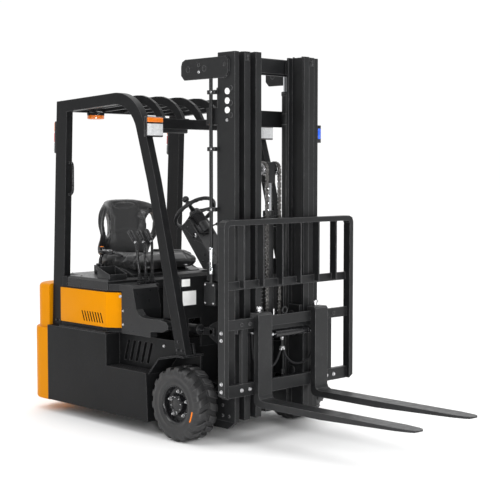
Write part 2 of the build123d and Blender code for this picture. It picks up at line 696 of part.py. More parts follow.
LIFT_X = OUTER_X - 46
LIFT_Y = OUTER_Y[0] - 40
LIFT_R = 25
LIFT_ROD_R = 17
LIFT_TOP_Z = 2000
TIE_T = 12
OUTER_TIE_X = LIFT_X - 42
MIDDLE_TIE_X = OUTER_X - 18
INNER_TIE_X = OUTER_X
EAR_Z0 = 1944
EAR_Z1 = 2055
with BuildPart() as outer_mast:
    channel_pair(OUTER_X, OUTER_Y, RAIL_Z0, MAST_TOP_Z)
    block(OUTER_X - TIE_T, OUTER_X + 3, -OUTER_Y[1], OUTER_Y[1], RAIL_Z0, 250)
    bridge(OUTER_TIE_X, OUTER_X, OUTER_Y, 868, 960)
    bridge(OUTER_TIE_X, OUTER_X, OUTER_Y, 1700, 1790)
    for side in (-1, 1):
        b0 = side * OUTER_Y[0]
        b1 = side * (OUTER_Y[0] + 20)
        side_plate([
            (PIVOT_X - 32, PIVOT_Z - 40),
            (PIVOT_X + 10, 76),
            (AXLE_X + 215, 76),
            (OUTER_X + RAIL_D, RAIL_Z0 + 4),
            (OUTER_X + RAIL_D, RAIL_Z0 + 30),
            (OUTER_X + 2, 300),
            (OUTER_X - 20, 300),
            (PIVOT_X - 32, PIVOT_Z + 40),
        ], b0, b1)
        rod_y(PIVOT_X, b0 - side, b1 + side, PIVOT_Z, (PIVOT_R + FIT) / FLAT_12,
              mode=Mode.SUBTRACT, sides=12)
        side_plate([
            (OUTER_X + 2, TILT_Z - 70),
            (OUTER_X + 2, TILT_Z + 70),
            (PIVOT_X - 22, TILT_Z + 30),
            (PIVOT_X - 22, TILT_Z - 30),
        ], b0, b1)
        rod_y(PIVOT_X, b0 - side, b1 + side, TILT_Z, TILT_PIN_R + 4, mode=Mode.SUBTRACT, sides=12)
        e0 = side * (OUTER_Y[1] - 1)
        e1 = side * (OUTER_Y[1] + 12)
        side_plate([
            (AXLE_X - 100, EAR_Z0),
            (AXLE_X + 210, EAR_Z0),
            (AXLE_X + 232, EAR_Z0 + 10),
            (AXLE_X + 245, EAR_Z0 + 34),
            (AXLE_X + 245, EAR_Z1 - 22),
            (AXLE_X + 226, EAR_Z1),
            (AXLE_X - 92, EAR_Z1),
            (AXLE_X - 116, EAR_Z1 - 12),
            (AXLE_X - 125, EAR_Z1 - 34),
            (AXLE_X - 125, EAR_Z0 + 26),
        ], e0, e1)
        for x in (AXLE_X - 70, AXLE_X + 60):
            rod_y(x, e0 - side, e1 + side, 2000, 16, mode=Mode.SUBTRACT, sides=10)
        block(LIFT_X - 34, OUTER_X + 3, side * (LIFT_Y - 34), side * OUTER_Y[1], 252, 270)
    for z in (1888, 1810, 1747):
        rod_y(AXLE_X + 255, -OUTER_Y[1] + 1, -OUTER_Y[1] - 3, z, 13, sides=10)

with BuildPart() as lift_barrels:
    for side in (-1, 1):
        rod_z(LIFT_X, side * LIFT_Y, 270 + FIT, 1900, LIFT_R)
        block(OUTER_TIE_X + TIE_T + FIT, LIFT_X, side * LIFT_Y - 12, side * LIFT_Y + 12, 1720, 1770)
        rod_z(LIFT_X, side * LIFT_Y, 300, 1901, LIFT_ROD_R + FIT, mode=Mode.SUBTRACT)

with BuildPart() as lift_rods:
    for side in (-1, 1):
        rod_z(LIFT_X, side * LIFT_Y, 320, LIFT_TOP_Z, LIFT_ROD_R)

with BuildPart() as middle_mast:
    channel_pair(MIDDLE_X, MIDDLE_Y, RAIL_Z0 + 10, MAST_TOP_Z)
    runner_pair(OUTER_X + RAIL_D / 2, MIDDLE_Y[1] - 2, (OUTER_Y[0] + 2, OUTER_Y[0] + 16), RAIL_Z0 + 262)
    block(MIDDLE_X - TIE_T, MIDDLE_X + 3, -MIDDLE_Y[1], MIDDLE_Y[1], RAIL_Z0 + 10, 240)
    bridge(MIDDLE_TIE_X, MIDDLE_X, MIDDLE_Y, 1980, 2072)
    for side in (-1, 1):
        y = side * (LIFT_Y - 2)
        block(LIFT_X - 26, MIDDLE_TIE_X + 4, y - 18, y + 18, LIFT_TOP_Z + FIT, 2030)
        block(MIDDLE_X + 8, MIDDLE_X + 40, side * (MIDDLE_Y[1] - 2), side * (INNER_Y[1] + CLEAR), 2040, 2062)

# Free-lift cylinder station, between the inner channels
FREE_X = INNER_X + 20
FREE_R = 28
FREE_ROD_R = 19
FREE_TOP_Z = 1240
with BuildPart() as inner_mast:
    channel_pair(INNER_X, INNER_Y, RAIL_Z0 + 20, MAST_TOP_Z)
    runner_pair(MIDDLE_X + RAIL_D / 2, INNER_Y[1] - 2, (MIDDLE_Y[0] + 4, MIDDLE_Y[0] + 22), RAIL_Z0 + 100)
    block(INNER_X - TIE_T, INNER_X + 3, -INNER_Y[1], INNER_Y[1], RAIL_Z0 + 20, 230)
    bridge(INNER_TIE_X, INNER_X, INNER_Y, 1990, 2066)
    block(INNER_X - TIE_T, FREE_X + 40, -60, 60, RAIL_Z0 + 20, RAIL_Z0 + 40)
    rod_z(FREE_X, 0, RAIL_Z0 + 40, 231, FREE_R + FIT, mode=Mode.SUBTRACT)

# Free-lift cylinder, its head with two pulleys, and the chains
HEAD_Z = 1466
PULLEY_R = 30
CHAIN_H = 12
CHAIN_W = 22
CHAIN_Y = 48
ANCHOR_Z = 1150
with BuildPart() as free_lift_barrel:
    rod_z(FREE_X, 0, RAIL_Z0 + 40 + FIT, FREE_TOP_Z, FREE_R)
    block(FREE_X - PULLEY_R - CHAIN_H, FREE_X, -CHAIN_Y - 14, CHAIN_Y + 14, ANCHOR_Z - 30, ANCHOR_Z - FIT)
    rod_z(FREE_X, 0, 380, FREE_TOP_Z + 1, FREE_ROD_R + FIT, mode=Mode.SUBTRACT)

with BuildPart() as free_lift_head:
    rod_z(FREE_X, 0, 500, 1400, FREE_ROD_R)
    block(FREE_X - 26, FREE_X + 26, -30, 30, 1390, HEAD_Z + 38)
    rod_y(FREE_X, -CHAIN_Y - 24, CHAIN_Y + 24, HEAD_Z, 13, sides=8)
    for side in (-1, 1):
        rod_y(FREE_X, side * CHAIN_Y - 13, side * CHAIN_Y + 13, HEAD_Z, PULLEY_R - FIT)

CARRIAGE_Z0 = FORK_TOP_Z - FORK_T + 65
CARRIAGE_Z1 = CARRIAGE_Z0 + CARRIAGE_H
CHAIN_FOOT_Z = CARRIAGE_Z1 - 40
with BuildPart() as carriage_chains:
    reach = PULLEY_R + CHAIN_H
    for side in (-1, 1):
        y0 = side * CHAIN_Y - CHAIN_W / 2
        y1 = side * CHAIN_Y + CHAIN_W / 2
        rod_y(FREE_X, y0, y1, HEAD_Z, reach)
        block(FREE_X - reach, FREE_X + reach, y0, y1, HEAD_Z - reach, HEAD_Z, mode=Mode.SUBTRACT)
        block(FREE_X + PULLEY_R, FREE_X + reach, y0, y1, CHAIN_FOOT_Z + FIT, HEAD_Z)
        block(FREE_X - reach, FREE_X - PULLEY_R, y0, y1, ANCHOR_Z, HEAD_Z)
        rod_y(FREE_X, y0, y1, HEAD_Z, PULLEY_R, mode=Mode.SUBTRACT)

MAST_CHAIN_Y = (INNER_Y[1] + MIDDLE_Y[0]) / 2
with BuildPart() as mast_chains:
    for side in (-1, 1):
        block(MIDDLE_X + 18, MIDDLE_X + 30, side * MAST_CHAIN_Y - 5, side * MAST_CHAIN_Y + 6, 200, 2040 - FIT)

# Lift carriage that runs in the inner channels, with the side-shift cylinder across it
SHIFT_X = FORK_FACE_X - FORK_T - 28
with BuildPart() as lift_carriage:
    for side in (-1, 1):
        y0 = side * (INNER_Y[0] - 24)
        y1 = side * (INNER_Y[0] - 8)
        block(INNER_X + 40, SHIFT_X - 2, y0, y1, CARRIAGE_Z0 + 10, CARRIAGE_Z1 - 36)
        block(INNER_X + 40, SHIFT_X - 30, y0, y1, CARRIAGE_Z1 - 40, CARRIAGE_Z1 + 30)
        for z in (CARRIAGE_Z0 + 70, CARRIAGE_Z1 - 30):
            rod_y(INNER_X + RAIL_D / 2, side * (INNER_Y[0] - 10), side * (INNER_Y[1] - 20), z,
                  RAIL_D / 2 - RAIL_T - FIT, sides=12)
    block(SHIFT_X - 22, SHIFT_X - 2, -360, 360, CARRIAGE_Z0 + 14, CARRIAGE_Z0 + 60)
    block(SHIFT_X - 22, SHIFT_X - 2, -360, 360, CARRIAGE_Z1 - 82, CARRIAGE_Z1 - 36)
    block(FREE_X + PULLEY_R - 2, SHIFT_X - 20, -INNER_Y[0] + 10, INNER_Y[0] - 10, CHAIN_FOOT_Z - 20, CHAIN_FOOT_Z)
    rod_y(SHIFT_X + 1, -90, 164, CARRIAGE_Z1 - 106, 20, sides=16)

# Side shifter frame that hangs on the carriage, its backrest and forks
with BuildPart() as shift_frame:
    top_z = CARRIAGE_Z1
    span = BACKREST_W / 2 - 30
    side_plate([
        (SHIFT_X - 22, top_z - 36 + FIT),
        (SHIFT_X - 22, top_z - 16),
        (SHIFT_X + 12, top_z - 16),
        (SHIFT_X + 12, top_z),
        (SHIFT_X + 28, top_z),
        (SHIFT_X + 28, top_z - 54),
        (SHIFT_X, top_z - 54),
        (SHIFT_X, top_z - 36 + FIT),
    ], -span, span)
    block(SHIFT_X, SHIFT_X + 28, -span, span, CARRIAGE_Z0, CARRIAGE_Z0 + 66)
    for side in (-1, 1):
        block(SHIFT_X, SHIFT_X + 20, side * 330 - 20, side * 330 + 20, CARRIAGE_Z0 + 60, top_z - 50)

SLAT_Z0 = 840
with BuildPart() as load_backrest:
    x0 = SHIFT_X + 2
    x1 = SHIFT_X + 48
    half = BACKREST_W / 2
    inset = half - 30
    front_plate([
        (-half, CARRIAGE_Z0 + 18),
        (-inset, CARRIAGE_Z0),
        (-inset, BACKREST_Z - 40),
        (-inset + 10, BACKREST_Z - 28),
        (inset - 10, BACKREST_Z - 28),
        (inset, BACKREST_Z - 40),
        (inset, CARRIAGE_Z0),
        (half, CARRIAGE_Z0 + 18),
        (half, BACKREST_Z - 34),
        (half - 10, BACKREST_Z - 10),
        (half - 34, BACKREST_Z),
        (-half + 34, BACKREST_Z),
        (-half + 10, BACKREST_Z - 10),
        (-half, BACKREST_Z - 34),
    ], x0, x1)
    block(x0, x0 + 12, -half + 2, half - 2, SLAT_Z0, SLAT_Z0 + 44)
    for n in range(1, 7):
        y = -half + n * BACKREST_W / 7
        block(x0, x1, y - 4, y + 4, SLAT_Z0 + 10, BACKREST_Z - 26)


def fork(side):
    y = side * FORK_SPREAD / 2
    back = FORK_FACE_X - FORK_T
    base = FORK_TOP_Z - FORK_T
    top = CARRIAGE_Z1 + 24
    with BuildPart() as arm:
        side_plate([
            (back, base + 34),
            (back + 10, base + 10),
            (back + 34, base),
            (FORK_FACE_X + FORK_LENGTH * 0.42, base),
            (FORK_TIP_X - 16, FORK_TOP_Z - 12),
            (FORK_TIP_X, FORK_TOP_Z - 8),
            (FORK_TIP_X, FORK_TOP_Z),
            (FORK_FACE_X + 26, FORK_TOP_Z),
            (FORK_FACE_X + 8, FORK_TOP_Z + 8),
            (FORK_FACE_X, FORK_TOP_Z + 26),
            (FORK_FACE_X, top - 10),
            (FORK_FACE_X - 10, top),
            (SHIFT_X + 1, top),
            (SHIFT_X + 1, CARRIAGE_Z1 - 14),
            (SHIFT_X + 11, CARRIAGE_Z1 - 14),
            (SHIFT_X + 11, CARRIAGE_Z1 + FIT),
            (back, CARRIAGE_Z1 + FIT),
        ], y - FORK_W / 2, y + FORK_W / 2)
        for edge in (-1, 1):
            top_plate([
                (FORK_TIP_X - 120, y + edge * FORK_W),
                (FORK_TIP_X + 5, y + edge * FORK_W),
                (FORK_TIP_X + 5, y + edge * 14),
                (FORK_TIP_X, y + edge * 14),
                (FORK_TIP_X - 12, y + edge * 30),
                (FORK_TIP_X - 40, y + edge * 40),
                (FORK_TIP_X - 120, y + edge * FORK_W / 2),
            ], base - 1, FORK_TOP_Z + 1, mode=Mode.SUBTRACT)
    return arm


fork_right = fork(-1)
fork_left = fork(1)

# Tilt cylinders between the chassis and the mast
TILT_Y = OUTER_Y[0] + 10
TILT_REAR_X = COWL_REAR_X - 14
TILT_FRONT_X = AXLE_X - 8
with BuildPart() as tilt_barrels:
    for side in (-1, 1):
        rod_x(TILT_REAR_X, TILT_FRONT_X, side * TILT_Y, TILT_Z, 27)
        rod_x(TILT_REAR_X + 40, TILT_FRONT_X + 1, side * TILT_Y, TILT_Z, 14 + FIT, mode=Mode.SUBTRACT)
        block(ARCH_REAR_X + FIT, TILT_REAR_X + 16, side * TILT_Y - 20, side * TILT_Y + 20, DECK_Z - 90, TILT_Z)

with BuildPart() as tilt_rods:
    for side in (-1, 1):
        y = side * TILT_Y
        rod_x(TILT_REAR_X + 100, PIVOT_X - 50, y, TILT_Z, 14)
        block(PIVOT_X - 60, PIVOT_X - 30, y - 20, y + 20, TILT_Z - 20, TILT_Z + 20)
        for cheek in (-1, 1):
            block(PIVOT_X - 40, PIVOT_X + 24, y + cheek * 16.5 - 3.5, y + cheek * 16.5 + 3.5,
                  TILT_Z - 20, TILT_Z + 20)
        rod_y(PIVOT_X, y - 20, y + 20, TILT_Z, TILT_PIN_R, sides=12)

# Hydraulic pipe and valve box behind the right channel, and the spot lamp on the left one
with BuildPart() as mast_fittings:
    y = -OUTER_Y[1] - 13
    with BuildSketch(Plane.XY.offset(850)) as pipe:
        with Locations((AXLE_X + 115, y)):
            RegularPolygon(10, 10)
    extrude(pipe.sketch, amount=EAR_Z0 - FIT - 850)
    with BuildSketch(Plane.XY.offset(911)) as union:
        with Locations((AXLE_X + 115, y)):
            RegularPolygon(12, 6)
    extrude(union.sketch, amount=132)
    block(AXLE_X + 67, OUTER_X - FIT, y - 12, y + 16, 735, 858)
    block(OUTER_X + 100, OUTER_X + 128, OUTER_Y[1] + FIT, OUTER_Y[1] + 34, 1606, 1716)

pieces = {
    "front_tyre_right": front_tyre_right,
    "front_tyre_left": front_tyre_left,
    "front_rim_right": front_rim_right,
    "front_rim_left": front_rim_left,
    "drive_axle": drive_axle,
    "steer_yoke": steer_yoke,
    "rear_tyres": rear_tyres,
    "rear_rims": rear_rims,
    "chassis_frame": chassis_frame,
    "floor_plate": floor_plate,
    "counterweight": counterweight,
    "battery_block": battery_block,
    "side_panels": side_panels,
    "body_shell": body_shell,
    "hood_lid": hood_lid,
    "seat_base": seat_base,
    "seat_cushion": seat_cushion,
    "seat_backrest": seat_backrest,
    "front_cowl": front_cowl,
    "side_console": side_console,
    "driver_controls": driver_controls,
    "steering_column": steering_column,
    "steering_wheel": steering_wheel,
    "overhead_guard": overhead_guard,
    "roof_bars": roof_bars,
    "cab_fittings": cab_fittings,
    "front_lamps": front_lamps,
    "rear_lamps": rear_lamps,
    "outer_mast": outer_mast,
    "lift_barrels": lift_barrels,
    "lift_rods": lift_rods,
    "middle_mast": middle_mast,
    "inner_mast": inner_mast,
    "free_lift_barrel": free_lift_barrel,
    "free_lift_head": free_lift_head,
    "carriage_chains": carriage_chains,
    "mast_chains": mast_chains,
    "lift_carriage": lift_carriage,
    "shift_frame": shift_frame,
    "load_backrest": load_backrest,
    "fork_right": fork_right,
    "fork_left": fork_left,
    "tilt_barrels": tilt_barrels,
    "tilt_rods": tilt_rods,
    "mast_fittings": mast_fittings,
}
for name, piece in pieces.items():
    piece.part.label = name
    export_step(piece.part, f"parts/{name}.step")
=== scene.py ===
import math

import bmesh
import bpy
from mathutils import Matrix, Vector


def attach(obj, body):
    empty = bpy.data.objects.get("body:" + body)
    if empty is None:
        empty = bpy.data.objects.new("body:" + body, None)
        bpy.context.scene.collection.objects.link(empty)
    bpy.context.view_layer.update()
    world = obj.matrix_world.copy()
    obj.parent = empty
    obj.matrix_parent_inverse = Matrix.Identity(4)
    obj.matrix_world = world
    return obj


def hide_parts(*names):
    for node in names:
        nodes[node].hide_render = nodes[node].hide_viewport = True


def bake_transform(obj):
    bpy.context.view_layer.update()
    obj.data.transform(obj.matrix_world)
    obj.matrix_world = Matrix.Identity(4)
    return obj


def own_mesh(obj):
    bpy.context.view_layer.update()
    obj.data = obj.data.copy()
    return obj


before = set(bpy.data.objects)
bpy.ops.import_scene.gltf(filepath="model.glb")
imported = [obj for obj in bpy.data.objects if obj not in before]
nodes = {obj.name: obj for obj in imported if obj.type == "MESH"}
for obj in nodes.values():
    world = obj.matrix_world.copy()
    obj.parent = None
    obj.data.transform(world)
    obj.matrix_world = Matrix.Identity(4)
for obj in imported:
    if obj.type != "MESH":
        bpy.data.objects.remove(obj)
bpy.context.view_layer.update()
AXLE = -0.0315
MM = Matrix.Translation((AXLE, 0, 0)) @ Matrix.Scale(0.001, 4)
X, Y, Z = Vector((1, 0, 0)), Vector((0, 1, 0)), Vector((0, 0, 1))
SIDES = (-1, 1)

# Places shared by several pieces, in millimetres from the front axle
FRONT_WHEEL_Y, FRONT_WHEEL_Z = 428, 203
REAR_WHEEL_X, REAR_WHEEL_Y, REAR_WHEEL_Z = -1085, 88, 171.5
HOOD_TOP = 835
LEVER_FOOT_X, LEVER_FOOT_Z = -470, 818
COWL_FACE = -61.6
CONSOLE_SIDE = 452
RAIL_SIDE = 321
EAR_SIDE = 333
LIFT_X, LIFT_Y = 108, 250
TILT_Y, TILT_Z = 300, 590
FREE_LIFT_X = 214
CHAIN_Y, CHAIN_WIDTH, LINK_DEPTH = 48, 22, 11.6
CHAIN_FRONT_X, CHAIN_REAR_X = 250, 178
CHAIN_FOOT_Z, CHAIN_ANCHOR_Z = 648, 1150
PULLEY_Z = 1466
MAST_TOP = 2078
SHIFT_X, SHIFT_Z = 348, 581
TEE_Y = -32
UNION_X, UNION_Y = 330, 238


# Materials: every one is built from noise in the object's own coordinates
def new_material(name):
    m = bpy.data.materials.new(name)
    m.use_nodes = True
    return m, m.node_tree.nodes, m.node_tree.links, m.node_tree.nodes["Principled BSDF"]


def fill(node, **values):
    # Sets inputs by name, with _ for each space
    for word, value in values.items():
        node.inputs[word.replace("_", " ")].default_value = value
    return node


def noise(n, links, coord, scale, detail=4.0, rough=0.55):
    t = fill(n.new("ShaderNodeTexNoise"), Scale=scale, Detail=detail, Roughness=rough)
    links.new(coord, t.inputs["Vector"])
    return t.outputs["Fac"]


def cell_texture(n, links, coord, scale):
    t = fill(n.new("ShaderNodeTexVoronoi"), Scale=scale)
    links.new(coord, t.inputs["Vector"])
    return t.outputs["Distance"]


def ramp(n, links, fac, stops):
    r = n.new("ShaderNodeValToRGB")
    for element, (where, color) in zip(r.color_ramp.elements, stops):
        element.position = where
        element.color = (*color, 1)
    links.new(fac, r.inputs["Fac"])
    return r.outputs["Color"]


def map_range(n, links, value, start, stop, low, high):
    r = fill(n.new("ShaderNodeMapRange"), From_Min=start, From_Max=stop, To_Min=low, To_Max=high)
    links.new(value, r.inputs["Value"])
    return r.outputs["Result"]


def mixed(n, links, factor, under, over):
    mix = n.new("ShaderNodeMix")
    mix.data_type = "RGBA"
    links.new(factor, mix.inputs["Factor"])
    links.new(under, mix.inputs["A"])
    mix.inputs["B"].default_value = (*over, 1)
    return mix.outputs["Result"]


def rounded_normal(n, radius):
    b = fill(n.new("ShaderNodeBevel"), Radius=radius)
    b.samples = 4
    return b.outputs["Normal"]


def edge_wear_and_highlight_mask(n, links, coord, strength):
    # Strong where a rounded normal leaves the true one, broken up by noise; it lightens edges partly as worn
    # paint and partly as a painted highlight where rounded edges would catch light
    turn = n.new("ShaderNodeVectorMath")
    turn.operation = "DOT_PRODUCT"
    links.new(rounded_normal(n, 0.004), turn.inputs[0])
    links.new(n.new("ShaderNodeNewGeometry").outputs["Normal"], turn.inputs[1])
    sharp = map_range(n, links, turn.outputs["Value"], 0.985, 0.86, 0, strength)
    broken = n.new("ShaderNodeMath")
    broken.operation = "MULTIPLY"
    links.new(sharp, broken.inputs[0])
    links.new(noise(n, links, coord, 24.0, 6), broken.inputs[1])
    return broken.outputs["Value"]


def bumped(n, links, bsdf, height, strength, depth):
    b = fill(n.new("ShaderNodeBump"), Strength=strength, Distance=depth)
    links.new(height, b.inputs["Height"])
    links.new(b.outputs["Normal"], bsdf.inputs["Normal"])
    return b


def shade(c, k):
    return tuple(min(1.0, x * k) for x in c)


def surface(name, color, rough, metal=0.0, vary=0.2, patch=5.0, grain=900.0, bump=0.06, round_mm=1.0, wear_and_highlight=None,
            dust=None, sheen=0.0, cells=None, spec=0.17):
    m, n, links, bsdf = new_material(name)
    coord = n.new("ShaderNodeTexCoord").outputs["Object"]
    big = noise(n, links, coord, patch, 5)
    base = ramp(n, links, big, [(0.3, shade(color, 1 - vary)), (0.7, shade(color, 1 + vary))])
    if dust:
        fine = noise(n, links, coord, 38.0, 8, 0.7)
        base = mixed(n, links, map_range(n, links, fine, 0.52, 0.75, 0, dust[1]), base, dust[0])
    # Edges lightened: partly worn paint, partly a painted highlight
    if wear_and_highlight:
        base = mixed(n, links, edge_wear_and_highlight_mask(n, links, coord, wear_and_highlight[1]), base, wear_and_highlight[0])
    links.new(base, bsdf.inputs["Base Color"])
    gloss = map_range(n, links, noise(n, links, coord, patch * 4, 6), 0.3, 0.7, *rough)
    links.new(gloss, bsdf.inputs["Roughness"])
    fill(bsdf, Metallic=metal, Specular_IOR_Level=0.5 if metal else spec, Sheen_Weight=sheen)
    height = cell_texture(n, links, coord, cells) if cells else noise(n, links, coord, grain, 3)
    b = bumped(n, links, bsdf, height, bump, 0.001)
    links.new(rounded_normal(n, round_mm / 1000), b.inputs["Normal"])
    return m


def lens(name, color, glow=0.0):
    m, n, links, bsdf = new_material(name)
    wave = cell_texture(n, links, n.new("ShaderNodeTexCoord").outputs["Object"], 260)
    links.new(ramp(n, links, wave, [(0.0, color), (0.8, shade(color, 0.72))]), bsdf.inputs["Base Color"])
    bumped(n, links, bsdf, wave, 0.35, 0.0008)
    fill(bsdf, Roughness=0.16, Coat_Weight=0.8, Emission_Color=(*color, 1), Emission_Strength=glow)
    return m


# Light grey laid on edges: partly worn paint, partly a painted edge highlight
EDGE_WEAR_AND_HIGHLIGHT = (0.24, 0.24, 0.245)
DUST = ((0.07, 0.068, 0.065), 0.08)
MAT = {
    "frame": surface("frame_paint", (0.0085, 0.0087, 0.0093), (0.32, 0.44), vary=0.16, patch=4, bump=0.05,
                     round_mm=3, wear_and_highlight=(EDGE_WEAR_AND_HIGHLIGHT, 0.7), dust=DUST, spec=0.11),
    "mast": surface("mast_paint", (0.0095, 0.0098, 0.0104), (0.32, 0.48), patch=6, grain=800, round_mm=2,
                    wear_and_highlight=(EDGE_WEAR_AND_HIGHLIGHT, 0.8), dust=DUST, spec=0.26),
    "yellow": surface("yellow_paint", (0.65, 0.238, 0.001), (0.28, 0.4), vary=0.03, patch=3, grain=500,
                      bump=0.07, round_mm=5, dust=((0.5, 0.195, 0.004), 0.12), spec=0.03),
    "fork": surface("fork_paint", (0.012, 0.0123, 0.013), (0.3, 0.46), patch=7, grain=700, round_mm=3,
                    wear_and_highlight=(EDGE_WEAR_AND_HIGHLIGHT, 0.9), dust=((0.1, 0.098, 0.095), 0.12), spec=0.3),
    "chrome": surface("rod_chrome", (0.62, 0.63, 0.65), (0.08, 0.16), metal=1, vary=0.05, patch=8, bump=0.01),
    "steel": surface("bright_steel", (0.55, 0.55, 0.56), (0.2, 0.36), metal=1, vary=0.12, patch=20, bump=0.05),
    "chain": surface("chain_steel", (0.16, 0.155, 0.15), (0.28, 0.46), metal=0.85, vary=0.3, patch=40,
                     bump=0.08, dust=((0.06, 0.05, 0.04), 0.4)),
    # The tyre's lighter edges are partly scuffed rubber, partly a painted highlight
    "tyre": surface("tyre_rubber", (0.0145, 0.0145, 0.0152), (0.4, 0.56), patch=9, grain=600, bump=0.16,
                    round_mm=2, wear_and_highlight=((0.09, 0.09, 0.09), 0.6), dust=((0.05, 0.048, 0.046), 0.25), spec=0.5),
    "plastic": surface("grained_plastic", (0.014, 0.0143, 0.0152), (0.26, 0.38), vary=0.12, patch=6, bump=0.2,
                       round_mm=4, wear_and_highlight=(EDGE_WEAR_AND_HIGHLIGHT, 0.8), dust=DUST, cells=900, spec=0.24),
    "vinyl": surface("seat_vinyl", (0.012, 0.0122, 0.013), (0.28, 0.4), vary=0.12, patch=10, bump=0.16,
                     dust=DUST, sheen=0.1, cells=480, spec=0.6),
    "black": surface("gloss_black", (0.008, 0.008, 0.009), (0.18, 0.3), vary=0.15, patch=12, bump=0.03,
                     round_mm=2, spec=0.4),
    "amber": lens("amber_lens", (0.8, 0.19, 0.01), 0.05),
    "red": lens("red_lens", (0.62, 0.02, 0.015), 0.1),
    "clear": lens("clear_lens", (0.62, 0.63, 0.64)),
    "blue": lens("blue_lens", (0.008, 0.1, 0.72), 0.35),
    "white": surface("blank_plate", (0.78, 0.78, 0.77), (0.35, 0.5), vary=0.05, patch=30, grain=700, bump=0.03),
    "orange": surface("orange_paint", (0.9, 0.22, 0.01), (0.5, 0.65), vary=0.15, patch=60, grain=600, bump=0.1),
    "glass": surface("mirror_glass", (0.75, 0.77, 0.78), (0.03, 0.06), metal=1, vary=0.03, patch=4, grain=500,
                     bump=0.004),
    "rubber": surface("mat_rubber", (0.013, 0.013, 0.014), (0.5, 0.62), patch=30, bump=0.2),
    "thread": surface("seam_thread", (0.035, 0.035, 0.037), (0.6, 0.75), vary=0.25, patch=300, bump=0.3),
}
NODE_MAT = {
    "frame": ["chassis_frame", "floor_plate", "body_shell", "front_cowl", "overhead_guard", "roof_bars",
              "cab_fittings", "drive_axle", "steer_yoke", "tilt_barrels", "front_rim_right", "front_rim_left",
              "rear_rims"],
    "mast": ["outer_mast", "middle_mast", "inner_mast", "lift_barrels", "free_lift_barrel", "lift_carriage",
             "shift_frame", "load_backrest", "mast_fittings", "free_lift_head"],
    "yellow": ["counterweight", "side_panels"],
    "fork": ["fork_right", "fork_left"],
    "chrome": ["lift_rods", "tilt_rods"],
    "chain": ["carriage_chains", "mast_chains"],
    "tyre": ["front_tyre_right", "front_tyre_left", "rear_tyres"],
    "plastic": ["hood_lid", "side_console", "steering_column", "steering_wheel", "driver_controls",
                "seat_base", "battery_block"],
    "vinyl": ["seat_cushion", "seat_backrest"],
    "clear": ["front_lamps"],
    "red": ["rear_lamps"],
}
for key, names in NODE_MAT.items():
    for name in names:
        nodes[name].data.materials.clear()
        nodes[name].data.materials.append(MAT[key])


def between(p0, p1, p2, p3, t):
    # Smooth line from p1 to p2, bent by the points before and after
    return 0.5 * (2 * p1 + (p2 - p0) * t + (2 * p0 - 5 * p1 + 4 * p2 - p3) * t * t
                  + (3 * p1 - p0 - 3 * p2 + p3) * t ** 3)


